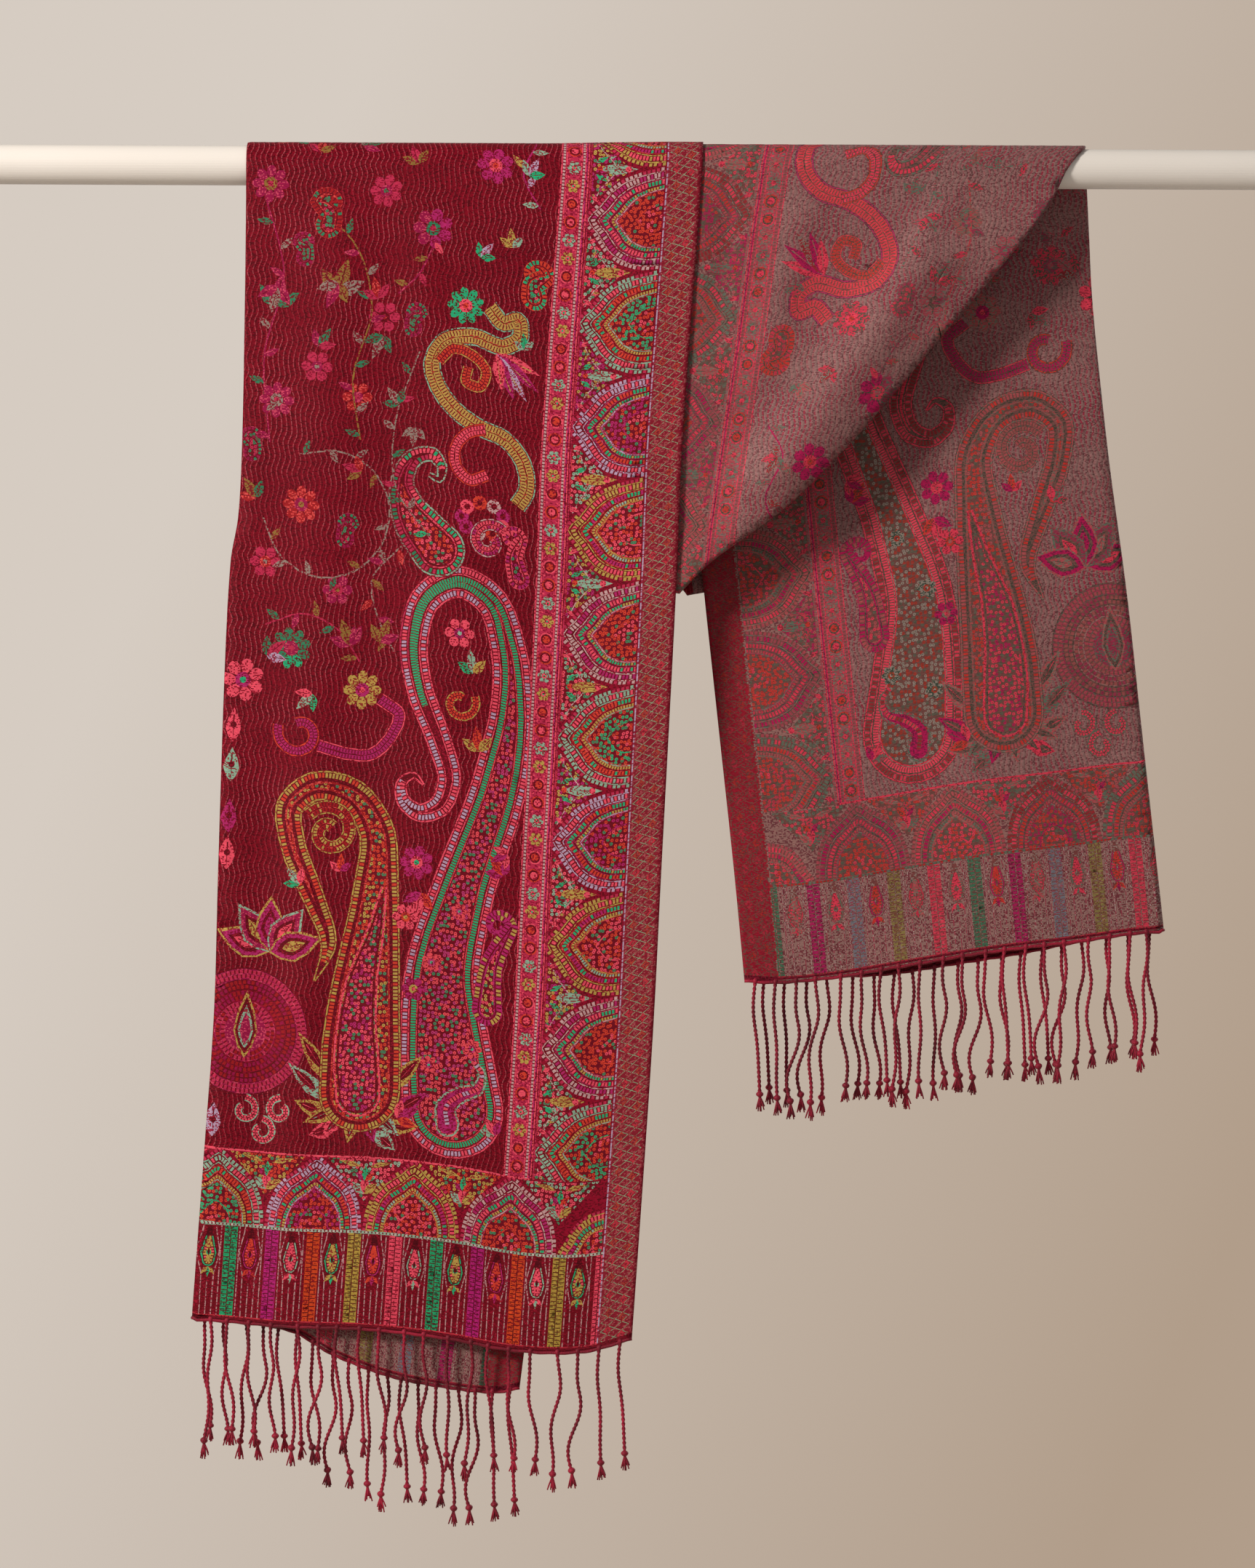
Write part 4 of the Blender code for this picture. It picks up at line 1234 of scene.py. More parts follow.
def paint(flat, faces, middles, figures):
    """The topmost yarn at the middle of each triangle, and its corners' places along beads."""
    order = np.argsort(middles[:, 1], kind="stable")
    sorted_up = middles[order, 1]
    yarns = np.full(len(middles), YARN_NAMES.index("ground"))
    along = np.zeros((len(middles), 3))
    for corners, yarn, path in figures:
        low, high = corners.min(axis=0), corners.max(axis=0)
        first, last = np.searchsorted(sorted_up, [low[1], high[1]])
        chosen = order[first:last]
        middle_in = middles[chosen, 0]
        chosen = chosen[(middle_in >= low[0]) & (middle_in <= high[0])]
        chosen = chosen[inside_chunks(middles[chosen], corners)]
        yarns[chosen] = YARN_NAMES.index(yarn)
        if path and len(chosen):
            places = flat[faces[chosen]].reshape(-1, 2)
            along[chosen] = along_path(places, *path).reshape(-1, 3)
    return yarns, along


def make_layer(layer, right_material, reverse_material):
    """One layer of cloth: a thin sheet of two faces, each with its own side's colours."""
    stretch = STRETCHES[layer.stretch]
    flat, faces, yarns, along = cut_layer(layer, layer.drawn_to)
    used, faces = np.unique(faces, return_inverse=True)
    faces = faces.reshape(-1, 3)
    flat = flat[used]
    drop = layer_drop(layer, flat[:, 0], flat[:, 1])
    share = layer_share(layer, flat[:, 0], drop)
    places = cloth_places(stretch, share, drop)

    mesh = bpy.data.meshes.new(layer.name)
    mesh.from_pydata(places.tolist(), [], faces.tolist())
    first = places[faces[:, 1]] - places[faces[:, 0]]
    second = places[faces[:, 2]] - places[faces[:, 0]]
    outward = np.cross(first, second).sum(axis=0)
    facing = stretch.outward if layer.outer else -stretch.outward
    if outward[1] * facing < 0:
        mesh.flip_normals()

    uv = mesh.uv_layers.new(name="flat_cloth")
    corner_vertex = np.empty(len(mesh.loops), dtype=np.int32)
    mesh.loops.foreach_get("vertex_index", corner_vertex)
    uv.data.foreach_set("uv", ((flat + [layer.offset, 0])[corner_vertex] * MM).ravel())

    # The mesh's corners may have been turned round, so each finds its own place again
    corner_face = np.repeat(np.arange(len(faces)), 3)
    same = faces[corner_face] == corner_vertex[:, None]
    bead_at = along[corner_face, same.argmax(axis=1)]
    bead_map = mesh.uv_layers.new(name="beads")
    bead_map.data.foreach_set("uv", np.stack([bead_at, np.zeros_like(bead_at)], axis=1).ravel())

    for side, palette in (("right", RIGHT_SIDE), ("reverse", REVERSE_SIDE)):
        used_yarns = [palette_yarn(palette, name) for name in YARN_NAMES]
        colours = np.array([(*linear(yarn.colour), yarn.share) for yarn in used_yarns])
        flecks = np.array([(*linear(yarn.fleck), yarn.pattern) for yarn in used_yarns])
        for kind, table in (("yarn", colours), ("fleck", flecks)):
            attribute = mesh.color_attributes.new(f"{side}_{kind}", "FLOAT_COLOR", "CORNER")
            attribute.data.foreach_set("color", np.repeat(table[yarns], 3, axis=0).ravel())
    mesh.shade_smooth()

    thing = bpy.data.objects.new(layer.name, mesh)
    bpy.context.scene.collection.objects.link(thing)
    materials = (right_material, reverse_material)
    for material in materials if layer.right_is_out else materials[::-1]:
        mesh.materials.append(material)
    wall = thing.modifiers.new("wall", "SOLIDIFY")
    wall.thickness = CLOTH_THICKNESS * MM
    wall.offset = 0.0
    wall.material_offset = 1
    print(layer.name, len(faces), "faces before its wall")
    return thing


# Materials

def add_node(tree, kind, sockets=(), **settings):
    """A node with its settings, its socket values and its links."""
    made = tree.nodes.new(kind)
    for name, value in settings.items():
        setattr(made, name, value)
    for socket, value in dict(sockets).items():
        if isinstance(value, bpy.types.NodeSocket):
            tree.links.new(value, made.inputs[socket])
        else:
            made.inputs[socket].default_value = value
    return made


def empty_material(name):
    material = bpy.data.materials.new(name)
    material.use_nodes = True
    material.node_tree.nodes.clear()
    return material, material.node_tree


# Threads and floats are drawn up to twice as coarse as real ones, so that they show
THREAD_ACROSS = 1.0
THREAD_UP = 0.8
FLOAT_SCALE = (360.0, 1250.0, 1.0)
TWILL_ACROSS = 1.3
TWILL_UP = 1.1
WEAVE_RELIEF = 0.07
WAVE_PITCH = 3.7
WAVE_PERIOD = 20.0
WAVE_SWING = 1.1
WAVE_DASH = 3.4
FULL_TURN = 2 * math.pi
BEAD_SHARE = 0.64
DASH_SHARE = 0.8
# The small flowers stand at an even spacing, not drawn one by one as woven ones are
FLOWER_PITCH = 2.9
FLOWER_EYE = 0.12
FLOWER_EDGE = 0.40
FLOWER_DISORDER = 0.7
SPARK_FROM = 0.84
# The slow changes, in turns a metre: the sway of the lines, their patches, and the dyeing
SWAY_SCALE = 22.0
PATCH_SCALE = 26.0
DYEING_SCALE = 14.0


def brocade_silk(name, side, wave_colour, wave_width, wave_strength, gap_colour, spark_colour):
    """Woven silk brocade: floats of bright yarn over a twill ground, with a soft lustre."""
    material, tree = empty_material(name)
    math_kind = "ShaderNodeMath"
    flat = add_node(tree, "ShaderNodeUVMap", uv_map="flat_cloth").outputs[0]
    parts = add_node(tree, "ShaderNodeSeparateXYZ", {0: flat})
    across, up = parts.outputs[0], parts.outputs[1]
    yarn = add_node(tree, "ShaderNodeAttribute", attribute_name=f"{side}_yarn")
    fleck = add_node(tree, "ShaderNodeAttribute", attribute_name=f"{side}_fleck")

    # Single threads, each row set off from the last
    row = add_node(tree, math_kind, {0: up, 1: THREAD_UP * MM}, operation="DIVIDE")
    row = add_node(tree, math_kind, {0: row.outputs[0]}, operation="FLOOR")
    stagger = add_node(tree, math_kind, {0: row.outputs[0], 1: 3.0}, operation="MODULO")
    column = add_node(
        tree, math_kind, {0: across, 1: 1 / (THREAD_ACROSS * MM), 2: stagger.outputs[0]},
        operation="MULTIPLY_ADD",
    )
    column = add_node(tree, math_kind, {0: column.outputs[0]}, operation="FLOOR")
    cell = add_node(tree, "ShaderNodeCombineXYZ", {0: column.outputs[0], 1: row.outputs[0]})
    chance = add_node(tree, "ShaderNodeTexWhiteNoise", {0: cell.outputs[0]}, noise_dimensions="2D")

    # Which pattern the yarn carries
    pattern = fleck.outputs["Alpha"]
    waved = add_node(tree, math_kind, {0: pattern, 1: WAVES, 2: 0.5}, operation="COMPARE").outputs[0]
    strewn = add_node(tree, math_kind, {0: pattern, 1: STREWN, 2: 0.5}, operation="COMPARE").outputs[0]
    beaded = add_node(tree, math_kind, {0: pattern, 1: BEADED, 2: 0.5}, operation="COMPARE").outputs[0]

    # Beads along a path, with dark gaps
    bead_uv = add_node(tree, "ShaderNodeUVMap", uv_map="beads")
    bead_parts = add_node(tree, "ShaderNodeSeparateXYZ", {0: bead_uv.outputs[0]})
    bead_number = add_node(tree, math_kind, {0: bead_parts.outputs[0]}, operation="FLOOR")
    bead_pick = add_node(
        tree, "ShaderNodeTexWhiteNoise", {1: bead_number.outputs[0]}, noise_dimensions="1D"
    )
    bead_at = add_node(tree, math_kind, {0: bead_parts.outputs[0]}, operation="FRACT")
    bead_gap = add_node(tree, math_kind, {0: bead_at.outputs[0], 1: BEAD_SHARE}, operation="GREATER_THAN")
    bead_gap = add_node(tree, math_kind, {0: bead_gap.outputs[0], 1: beaded}, operation="MULTIPLY")

    # Small flowers, each with a dark eye
    flowers = add_node(
        tree, "ShaderNodeTexVoronoi",
        {"Vector": flat, "Scale": 1 / (FLOWER_PITCH * MM), "Randomness": FLOWER_DISORDER},
        voronoi_dimensions="2D",
    )
    flower_parts = add_node(tree, "ShaderNodeSeparateColor", {0: flowers.outputs["Color"]})
    away = flowers.outputs["Distance"]
    eye = add_node(tree, math_kind, {0: away, 1: FLOWER_EYE}, operation="LESS_THAN")
    edge = add_node(tree, math_kind, {0: away, 1: FLOWER_EDGE}, operation="GREATER_THAN")
    flower_gap = add_node(tree, math_kind, {0: eye.outputs[0], 1: edge.outputs[0]}, operation="MAXIMUM")
    flower_gap = add_node(tree, math_kind, {0: flower_gap.outputs[0], 1: strewn}, operation="MULTIPLY")
    spark = add_node(tree, math_kind, {0: flower_parts.outputs[1], 1: SPARK_FROM}, operation="GREATER_THAN")
    spark = add_node(tree, math_kind, {0: spark.outputs[0], 1: strewn}, operation="MULTIPLY")

    # The yarn that lies on top
    pick = add_node(tree, "ShaderNodeMix", {0: strewn, 2: chance.outputs[0], 3: flower_parts.outputs[0]})
    pick = add_node(tree, "ShaderNodeMix", {0: beaded, 2: pick.outputs[0], 3: bead_pick.outputs[0]})
    shows = add_node(tree, math_kind, {0: pick.outputs[0], 1: yarn.outputs["Alpha"]}, operation="LESS_THAN")
    base = add_node(
        tree, "ShaderNodeMix",
        {0: shows.outputs[0], 6: yarn.outputs["Color"], 7: fleck.outputs["Color"]}, data_type="RGBA",
    )
    base = add_node(
        tree, "ShaderNodeMix",
        {0: spark.outputs[0], 6: base.outputs[2], 7: (*linear(spark_colour), 1.0)}, data_type="RGBA",
    )
    gap = add_node(tree, math_kind, {0: bead_gap.outputs[0], 1: flower_gap.outputs[0]}, operation="MAXIMUM")
    base = add_node(
        tree, "ShaderNodeMix",
        {0: gap.outputs[0], 6: base.outputs[2], 7: (*linear(gap_colour), 1.0)}, data_type="RGBA",
    )

    # Broken wavy lines in the ground
    drift = add_node(tree, "ShaderNodeTexNoise", {"Vector": flat, "Scale": SWAY_SCALE, "Detail": 1.0})
    drift = add_node(tree, math_kind, {0: drift.outputs[0], 1: 9.0}, operation="MULTIPLY")
    turn = add_node(
        tree, math_kind, {0: up, 1: FULL_TURN / (WAVE_PERIOD * MM), 2: drift.outputs[0]},
        operation="MULTIPLY_ADD",
    )
    swing = add_node(tree, math_kind, {0: turn.outputs[0]}, operation="SINE")
    swung = add_node(
        tree, math_kind, {0: swing.outputs[0], 1: WAVE_SWING * MM, 2: across}, operation="MULTIPLY_ADD"
    )
    lines = add_node(tree, math_kind, {0: swung.outputs[0], 1: WAVE_PITCH * MM}, operation="DIVIDE")
    line_at = add_node(tree, math_kind, {0: lines.outputs[0]}, operation="FRACT")
    on_line = add_node(tree, math_kind, {0: line_at.outputs[0], 1: wave_width}, operation="LESS_THAN")
    which = add_node(tree, math_kind, {0: lines.outputs[0]}, operation="FLOOR")
    shifted = add_node(tree, math_kind, {0: which.outputs[0], 1: 0.37}, operation="MULTIPLY")
    dashes = add_node(
        tree, math_kind, {0: up, 1: 1 / (WAVE_DASH * MM), 2: shifted.outputs[0]}, operation="MULTIPLY_ADD"
    )
    dash_at = add_node(tree, math_kind, {0: dashes.outputs[0]}, operation="FRACT")
    unbroken = add_node(tree, math_kind, {0: dash_at.outputs[0], 1: DASH_SHARE}, operation="LESS_THAN")
    patch = add_node(tree, "ShaderNodeTexNoise", {"Vector": flat, "Scale": PATCH_SCALE, "Detail": 2.0})
    patchy = add_node(
        tree, "ShaderNodeMapRange",
        {"Value": patch.outputs[0], "From Min": 0.38, "From Max": 0.6,
         "To Min": 0.25 * wave_strength, "To Max": wave_strength},
    )
    wave = add_node(tree, math_kind, {0: on_line.outputs[0], 1: unbroken.outputs[0]}, operation="MULTIPLY")
    wave = add_node(tree, math_kind, {0: wave.outputs[0], 1: waved}, operation="MULTIPLY")
    wave = add_node(tree, math_kind, {0: wave.outputs[0], 1: patchy.outputs[0]}, operation="MULTIPLY")
    base = add_node(
        tree, "ShaderNodeMix",
        {0: wave.outputs[0], 6: base.outputs[2], 7: (*linear(wave_colour), 1.0)}, data_type="RGBA",
    )

    # Uneven dyeing, the light and dark of single floats, and painted shade that darkens the ground from
    # each wavy line across to the next
    stretched = add_node(tree, "ShaderNodeMapping", {"Vector": flat, "Scale": FLOAT_SCALE})
    floats = add_node(
        tree, "ShaderNodeTexNoise", {"Vector": stretched.outputs[0], "Scale": 1.0, "Detail": 2.0}
    )
    broad = add_node(tree, "ShaderNodeTexNoise", {"Vector": flat, "Scale": DYEING_SCALE, "Detail": 3.0})
    single = add_node(tree, math_kind, {0: floats.outputs[0], 1: 1.3, 2: 0.35}, operation="MULTIPLY_ADD")
    dyed = add_node(tree, math_kind, {0: broad.outputs[0], 1: 0.36, 2: 0.82}, operation="MULTIPLY_ADD")
    shade = add_node(tree, math_kind, {0: single.outputs[0], 1: dyed.outputs[0]}, operation="MULTIPLY")
    # Painted shade: brighter at each wavy line and darker just before the next, as if the raised lines
    # shaded the ground
    painted_wave_shade = add_node(tree, math_kind, {0: line_at.outputs[0], 1: waved}, operation="MULTIPLY")
    painted_wave_shade = add_node(tree, math_kind, {0: painted_wave_shade.outputs[0], 1: -0.5, 2: 1.1}, operation="MULTIPLY_ADD")
    shade = add_node(tree, math_kind, {0: shade.outputs[0], 1: painted_wave_shade.outputs[0]}, operation="MULTIPLY")
    coloured = add_node(
        tree, "ShaderNodeVectorMath", {0: base.outputs[2], "Scale": shade.outputs[0]}, operation="SCALE"
    )

    # Relief: twill lines, floats and raised wavy lines
    slant = add_node(tree, math_kind, {0: up, 1: FULL_TURN / (TWILL_UP * MM)}, operation="MULTIPLY")
    slant = add_node(
        tree, math_kind, {0: across, 1: FULL_TURN / (TWILL_ACROSS * MM), 2: slant.outputs[0]},
        operation="MULTIPLY_ADD",
    )
    twill = add_node(tree, math_kind, {0: slant.outputs[0]}, operation="SINE")
    height = twill
    for part, rise in ((floats, 7.0), (shows, -2.3), (wave, 2.3)):
        height = add_node(
            tree, math_kind, {0: part.outputs[0], 1: rise, 2: height.outputs[0]},
            operation="MULTIPLY_ADD",
        )
    bump = add_node(
        tree, "ShaderNodeBump",
        {"Strength": 0.6, "Distance": WEAVE_RELIEF * MM, "Height": height.outputs[0]},
    )

    shader = add_node(
        tree, "ShaderNodeBsdfPrincipled",
        {
            "Base Color": coloured.outputs[0],
            "Roughness": 0.5,
            "IOR": 1.5,
            "Specular IOR Level": 0.08,
            "Sheen Weight": 0.02,
            "Sheen Roughness": 0.45,
            "Sheen Tint": (1.0, 0.8, 0.76, 1.0),
            "Normal": bump.outputs[0],
        },
    )
    add_node(tree, "ShaderNodeOutputMaterial", {"Surface": shader.outputs[0]})
    return material


def twisted_silk(name):
    """Twisted and knotted silk cord: deep maroon, with paler fibre tops along each ply."""
    material, tree = empty_material(name)
    place = add_node(tree, "ShaderNodeTexCoord").outputs["Object"]
    fibre_map = add_node(tree, "ShaderNodeMapping", {"Vector": place, "Scale": (2200.0, 2200.0, 500.0)})
    fibre = add_node(
        tree, "ShaderNodeTexNoise", {"Vector": fibre_map.outputs[0], "Scale": 1.0, "Detail": 2.0}
    )
    broad = add_node(tree, "ShaderNodeTexNoise", {"Vector": place, "Scale": 28.0, "Detail": 1.0})
    mixed = add_node(
        tree, "ShaderNodeMath", {0: fibre.outputs[0], 1: broad.outputs[0]}, operation="MULTIPLY"
    )
    ramp = add_node(tree, "ShaderNodeValToRGB", {0: mixed.outputs[0]})
    ramp.color_ramp.elements[0].position = 0.1
    ramp.color_ramp.elements[0].color = (*linear("#4a0716"), 1.0)
    ramp.color_ramp.elements[1].position = 0.42
    ramp.color_ramp.elements[1].color = (*linear("#b01a3c"), 1.0)
    bump = add_node(
        tree, "ShaderNodeBump", {"Strength": 0.5, "Distance": 0.0002, "Height": fibre.outputs[0]}
    )
    shader = add_node(
        tree, "ShaderNodeBsdfPrincipled",
        {
            "Base Color": ramp.outputs[0],
            "Roughness": 0.6,
            "IOR": 1.5,
            "Specular IOR Level": 0.3,
            "Sheen Weight": 0.15,
            "Sheen Roughness": 0.4,
            "Normal": bump.outputs[0],
        },
    )
    add_node(tree, "ShaderNodeOutputMaterial", {"Surface": shader.outputs[0]})
    return material


def painted_wood(name):
    """Satin cream paint on a turned rod: smooth, with a faint brushed unevenness."""
    material, tree = empty_material(name)
    place = add_node(tree, "ShaderNodeTexCoord").outputs["Object"]
    brush_map = add_node(tree, "ShaderNodeMapping", {"Vector": place, "Scale": (20.0, 900.0, 900.0)})
    brush = add_node(
        tree, "ShaderNodeTexNoise", {"Vector": brush_map.outputs[0], "Scale": 1.0, "Detail": 3.0}
    )
    broad = add_node(tree, "ShaderNodeTexNoise", {"Vector": place, "Scale": 9.0, "Detail": 2.0})
    tone = add_node(
        tree, "ShaderNodeMix",
        {0: broad.outputs[0], 6: (*linear("#eeeae3"), 1.0), 7: (*linear("#f4f0ea"), 1.0)},
        data_type="RGBA",
    )
    bump = add_node(
        tree, "ShaderNodeBump", {"Strength": 0.18, "Distance": 0.0002, "Height": brush.outputs[0]}
    )
    shader = add_node(
        tree, "ShaderNodeBsdfPrincipled",
        {
            "Base Color": tone.outputs[2],
            "Roughness": 0.38,
            "IOR": 1.5,
            "Specular IOR Level": 0.5,
            "Normal": bump.outputs[0],
        },
    )
    add_node(tree, "ShaderNodeOutputMaterial", {"Surface": shader.outputs[0]})
    return material


right_silk = brocade_silk("silk_brocade_right_side", "right", "#b0525c", 0.17, 0.8, "#6d0c1e", "#3a8460")
reverse_silk = brocade_silk(
    "silk_brocade_reverse_side", "reverse", "#962840", 0.36, 0.9, "#6c4642", "#55584c"
)
maroon_cord = twisted_silk("twisted_silk_cord")
cream_paint = painted_wood("satin_cream_paint_on_hardwood")

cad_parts["rod"].data.materials.clear()
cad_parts["rod"].data.materials.append(cream_paint)

# The cloth layers

PLAIN_CLOTH = 0.0
LAYERS = [
    Layer("front_outer_cloth", "front_fall", True, 0.0, False, (0.325, 0.86), None, True,
          DRAWN_UP, "fringe_front_outer"),
    Layer("front_inner_cloth", "front_fall", False, 0.0, False, (0.295, 0.88), None, True,
          DRAWN_UP, "fringe_front_inner"),
    Layer("rear_flap_cloth", "rear_flap", True, 0.0, True, (0.325, 0.33), 0.064, True, DRAWN_UP, None),
    Layer("turned_flap_cloth", "turned_flap", True, 20.0, True, (0.292, 0.33), 0.065, False,
          DRAWN_UP, None),
    Layer("back_near_cloth", "back_fall", False, 0.0, False, (0.303, 0.6), None, False,
          DRAWN_UP, "fringe_back_inner"),
    Layer("back_far_cloth", "back_fall", True, 0.0, False, (0.292, 0.6), None, False,
          DRAWN_UP, "fringe_back_outer"),
    Layer("rear_flap_lining", "rear_flap", False, 0.0, True, (0.287, 0.33), 0.054, True, PLAIN_CLOTH, None),
    Layer("turned_flap_lining", "turned_flap", False, 0.0, True, (0.303, 0.33), 0.068, False,
          PLAIN_CLOTH, None),
]

for layer in LAYERS:
    cloth = make_layer(layer, right_silk, reverse_silk)
    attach(cloth, "root")
for layer in LAYERS:
    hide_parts(layer.stretch)


# Fringe

CORD_RADIUS = 1.5
CORD_SIDES = 8
TWIST_PITCH = 6.6
RING_STEP = 0.95
KNOT_AT = 0.87
KNOT_RADIUS = 2.7
TUFT_STRANDS = 11
HEM_RADIUS = 1.15
ROOT_DEPTH = 2.2
SWAY = 4.5
SWAY_IN_DEPTH = 0.8


def uneven(number, kind):
    """A value from -1 to 1 that differs from tassel to tassel, as in the part's source."""
    return math.sin(7.3 * number + 2.9 * kind + 1.1 * math.sin(3.7 * number))


def one_place(stretch, share, drop):
    return cloth_places(stretch, np.array([share]), np.array([drop]))[0]


def tube(mesh, path, radius_at, sides, twist_pitch=None, depth=0.22):
    """A closed round or two-ply tube along a path, made from a grid rolled up."""
    path = np.asarray(path)
    rings = len(path) - 1
    ahead = np.gradient(path, axis=0)
    ahead /= np.linalg.norm(ahead, axis=1)[:, None]
    side = np.cross(ahead, [0.0, 1.0, 0.0])
    side /= np.linalg.norm(side, axis=1)[:, None]
    other = np.cross(ahead, side)
    reach = np.concatenate([[0.0], np.cumsum(np.linalg.norm(np.diff(path, axis=0), axis=1))])
    grid = bmesh.ops.create_grid(mesh, x_segments=sides, y_segments=rings, size=0.5)["verts"]
    for vertex in grid:
        column = round((vertex.co.x + 0.5) * sides) % sides
        ring = round((vertex.co.y + 0.5) * rings)
        angle = 2 * math.pi * column / sides
        radius = radius_at(ring / rings) * MM
        if twist_pitch:
            turn = 2 * math.pi * reach[ring] / (twist_pitch * MM)
            radius *= 1 - depth + depth * math.cos(2 * (angle - turn))
        out = math.cos(angle) * side[ring] + math.sin(angle) * other[ring]
        vertex.co = Vector(path[ring] + radius * out)
    bmesh.ops.remove_doubles(mesh, verts=grid, dist=1e-7)
    return grid


def add_tassel(mesh, fringe, stretch, number):
    """One two-ply cord, waving a little, with a knot and a cut tuft at its end."""
    spacing = (fringe.last - fringe.first) / fringe.tassels
    share = fringe.first + spacing * (number + 0.5 + 0.12 * uneven(number, 1))
    hem = float(read(stretch.hem, "drop", share))
    root = one_place(stretch, share, hem - ROOT_DEPTH) / MM
    length = fringe.length * (1 + 0.06 * uneven(number, 2)) + ROOT_DEPTH
    lean = SWAY * uneven(number, 3)
    curl = SWAY * 0.4 * uneven(number, 4)
    in_depth = SWAY_IN_DEPTH * uneven(number, 5)
    wave = 2.6 * (0.6 + 0.4 * uneven(number, 6))

    def place(along):
        aside = lean * along**1.5 + curl * math.sin(2 * math.pi * along)
        aside += wave * math.sin(2 * math.pi * (1.7 * along + 0.5 * uneven(number, 7))) * min(along * 3, 1)
        depth = in_depth * along + 0.7 * math.sin(5.2 * along + number) * min(along * 3, 1)
        return (root + [aside, depth, -length * along]) * MM

    steps = int(length * KNOT_AT / RING_STEP)
    cord = [place(KNOT_AT * step / steps) for step in range(steps + 1)]
    tube(mesh, cord, lambda at: CORD_RADIUS, CORD_SIDES, TWIST_PITCH)
    first_knot = [place(-0.012 + 0.045 * step / 6) for step in range(7)]
    tube(mesh, first_knot, lambda at: 1.9 * max(math.sin(math.pi * at), 0.2) ** 0.5, 8)
    knot = [place(KNOT_AT - 0.016 + 0.05 * step / 8) for step in range(9)]
    tube(mesh, knot, lambda at: KNOT_RADIUS * max(math.sin(math.pi * at), 0.12) ** 0.6, 8)
    start = np.array(place(KNOT_AT + 0.015))
    for strand in range(TUFT_STRANDS):
        angle = 2.4 * strand + number
        spread = (0.35 + 0.65 * (strand % 3) / 2) * MM
        reach = length * (1 - KNOT_AT) * (0.82 + 0.16 * uneven(number + strand, 8)) * MM
        out = np.array([math.cos(angle) * 3.6 * spread, math.sin(angle) * 1.7 * spread, 0.0])
        path = [
            start + out * min(1.0, 0.25 + at) * at ** 0.7 - [0, 0, reach * at]
            for at in (0.0, 0.3, 0.65, 1.0)
        ]
        tube(mesh, path, lambda at: 0.7 - 0.2 * at, 5)


def build_fringe(fringe):
    """A rolled hem cord along one layer's lower edge, and the tassels knotted into it."""
    stretch = STRETCHES[fringe.stretch]
    mesh = bmesh.new()
    shares = np.linspace(fringe.first, fringe.last + (0.5 if fringe.last == 1 else -0.5), 130)
    lowest = read(stretch.hem, "drop", shares) - 0.7
    path = cloth_places(stretch, shares, lowest)
    kept = [path[0]]
    for point in path[1:]:
        if np.linalg.norm(point - kept[-1]) > 1.2 * MM:
            kept.append(point)
    roll = np.array(kept)
    roll[:, 2] += 0.25 * MM * np.sin(np.arange(len(roll)) * 1.3)
    tube(mesh, roll, lambda at: HEM_RADIUS, 8)
    for number in range(fringe.tassels):
        add_tassel(mesh, fringe, stretch, number)
    open_edges = [edge for edge in mesh.edges if edge.is_boundary]
    bmesh.ops.holes_fill(mesh, edges=open_edges, sides=12)
    bmesh.ops.recalc_face_normals(mesh, faces=mesh.faces)
    data = bpy.data.meshes.new(fringe.name + "_cords")
    mesh.to_mesh(data)
    mesh.free()
    data.shade_smooth()
    data.materials.append(maroon_cord)
    thing = bpy.data.objects.new(fringe.name + "_cords", data)
    bpy.context.scene.collection.objects.link(thing)
    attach(thing, "root")
    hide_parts(fringe.name)
    return thing


# The hem and tassels of each layer that ends in them
fringes = {fringe.name: build_fringe(fringe) for fringe in FRINGES}


# The room: a pale floor below, a warm pale wall colour all round, seen with painted light paler at the
# upper left, and soft lights

FLOOR_LEVEL = -1.27
FLOOR_RADIUS = 1.35
ROOM_FILL = "#dcd6d0"
ROOM_STRENGTH = 0.4


def build_floor():
    mesh = bmesh.new()
    bmesh.ops.create_circle(mesh, cap_ends=True, segments=96, radius=FLOOR_RADIUS)
    bmesh.ops.translate(mesh, verts=mesh.verts, vec=(0, 0, FLOOR_LEVEL))
    data = bpy.data.meshes.new("pale_floor")
    mesh.to_mesh(data)
    mesh.free()
    material, tree = empty_material("pale_matt_floor")
    shader = add_node(
        tree, "ShaderNodeBsdfPrincipled",
        {"Base Color": (*linear("#cdbfb0"), 1.0), "Roughness": 0.9, "IOR": 1.45},
    )
    add_node(tree, "ShaderNodeOutputMaterial", {"Surface": shader.outputs[0]})
    data.materials.append(material)
    thing = bpy.data.objects.new("pale_floor", data)
    bpy.context.scene.collection.objects.link(thing)


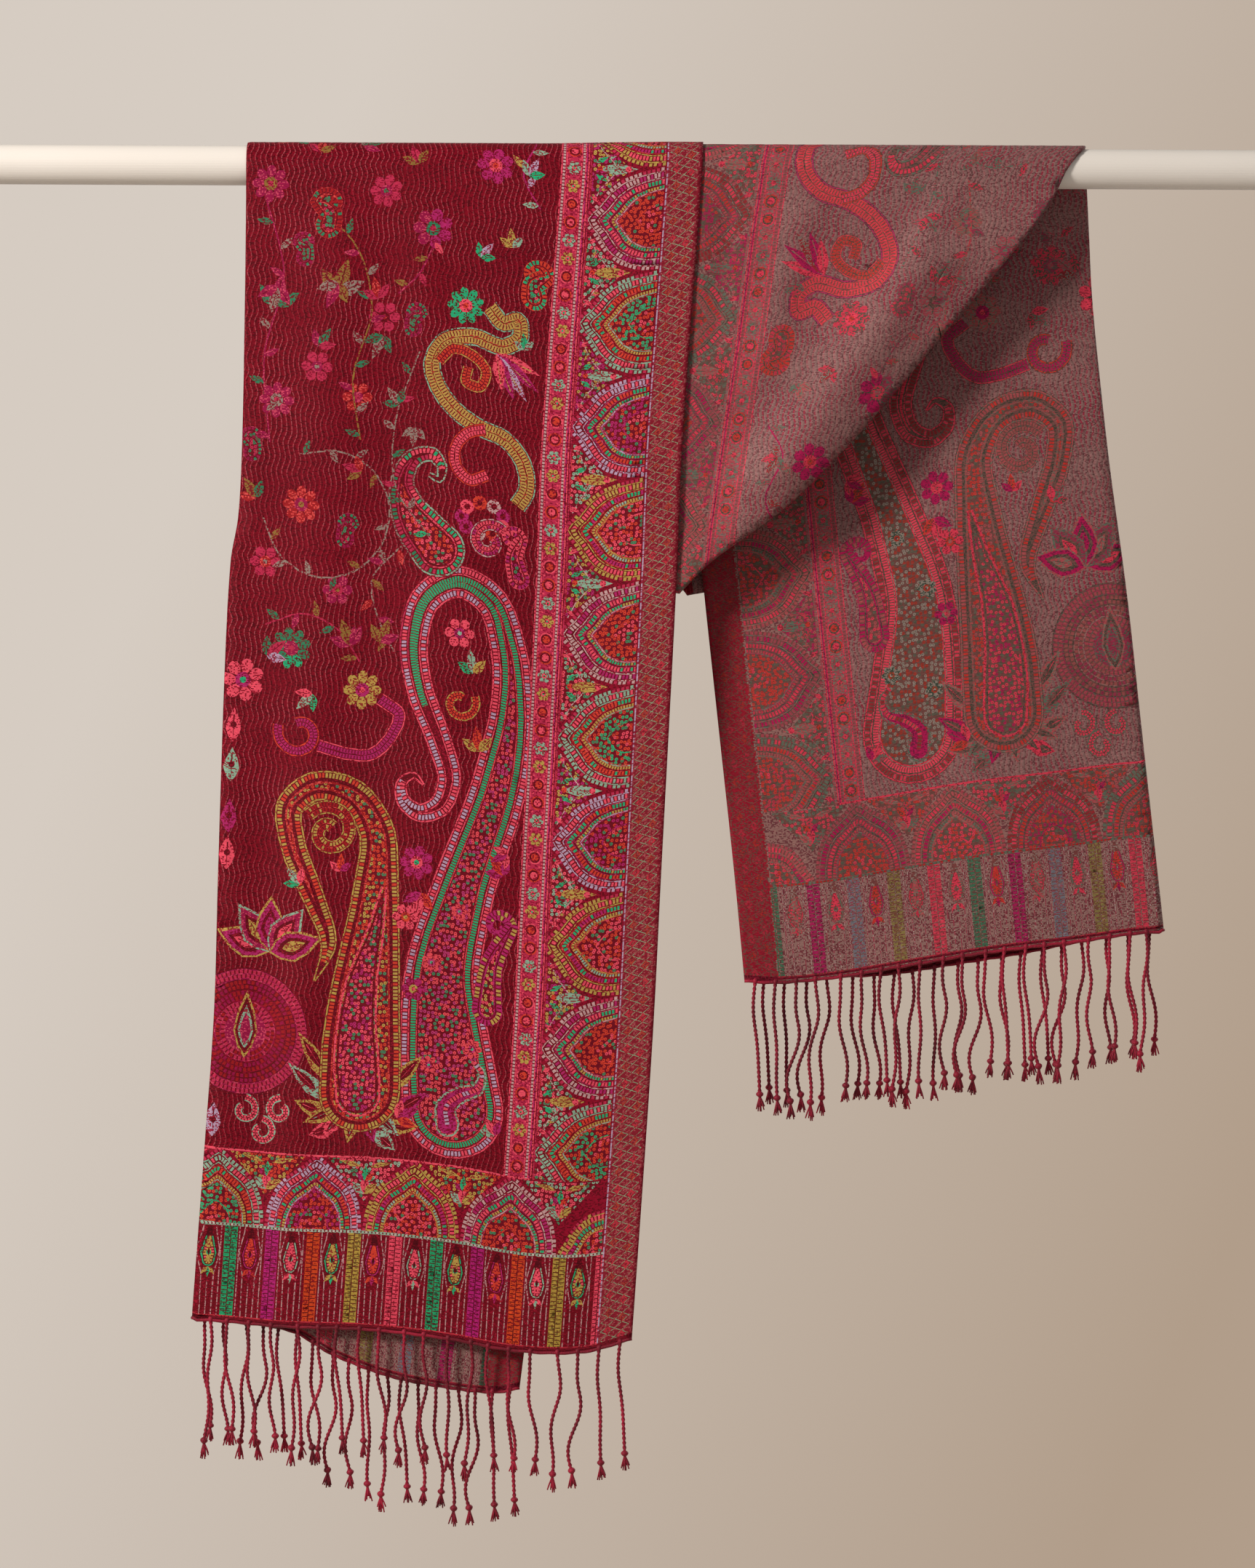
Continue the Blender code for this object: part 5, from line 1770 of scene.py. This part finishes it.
def light_the_wall():
    """A plain wall behind the cloth, with painted light on it: paler at the upper left, with painted shade
    towards the lower right.
    """
    world = bpy.data.worlds.new("pale_wall")
    bpy.context.scene.world = world
    world.use_nodes = True
    tree = world.node_tree
    tree.nodes.clear()
    direction = add_node(tree, "ShaderNodeTexCoord").outputs["Generated"]
    parts = add_node(tree, "ShaderNodeSeparateXYZ", {0: direction})
    right = add_node(
        tree, "ShaderNodeMath", {0: parts.outputs["X"], 1: 3.6, 2: 0.42}, operation="MULTIPLY_ADD"
    )
    down = add_node(
        tree, "ShaderNodeMath", {0: parts.outputs["Z"], 1: -1.6, 2: right.outputs[0]},
        operation="MULTIPLY_ADD", use_clamp=True,
    )
    # Painted light on the wall: paler at the upper left, shaded towards the lower right
    wall = add_node(
        tree, "ShaderNodeMix",
        {0: down.outputs[0], 6: (*linear("#d6ccc2"), 1.0), 7: (*linear("#b19d8a"), 1.0)},
        data_type="RGBA",
    )
    wall_with_painted_light = add_node(tree, "ShaderNodeBackground", {"Color": wall.outputs[2], "Strength": 1.0})
    fill = add_node(
        tree, "ShaderNodeBackground", {"Color": (*linear(ROOM_FILL), 1.0), "Strength": ROOM_STRENGTH}
    )
    path = add_node(tree, "ShaderNodeLightPath")
    both = add_node(
        tree, "ShaderNodeMixShader",
        {0: path.outputs["Is Camera Ray"], 1: fill.outputs[0], 2: wall_with_painted_light.outputs[0]},
    )
    add_node(tree, "ShaderNodeOutputWorld", {"Surface": both.outputs[0]})


def area_light(name, place, aim, size, power, colour):
    lamp = bpy.data.lights.new(name, "AREA")
    lamp.shape = "DISK"
    lamp.size = size
    lamp.energy = power
    lamp.color = linear(colour)
    thing = bpy.data.objects.new(name, lamp)
    bpy.context.scene.collection.objects.link(thing)
    thing.location = place
    thing.rotation_euler = (Vector(aim) - Vector(place)).to_track_quat("-Z", "Y").to_euler()


build_floor()
light_the_wall()
area_light("window_light", (-2.3, -2.0, 1.1), (-0.05, 0.0, -0.4), 0.8, 104.0, "#fff5ec")
area_light("back_light", (2.2, 2.4, 0.9), (0.0, 0.0, -0.4), 1.5, 26.0, "#fff6ee")


def set_camera():
    """The camera stands level with the cloth's middle, turned by the rod's slight slope."""
    data = bpy.data.cameras.new("photo_camera")
    data.sensor_fit = "VERTICAL"
    data.sensor_height = 36.0
    data.lens = 36.0 * SHOT_DISTANCE / SHOT_HEIGHT
    data.clip_start = 0.1
    data.clip_end = 50.0
    camera = bpy.data.objects.new("photo_camera", data)
    bpy.context.scene.collection.objects.link(camera)
    level = Matrix.Rotation(math.pi / 2, 4, "X")
    roll = Matrix.Rotation(SHOT_ROLL, 4, "Z")
    camera.matrix_world = Matrix.Translation((0, -SHOT_DISTANCE, SHOT_CENTRE)) @ level @ roll
    bpy.context.scene.camera = camera


set_camera()
bpy.context.scene.view_settings.view_transform = "Standard"
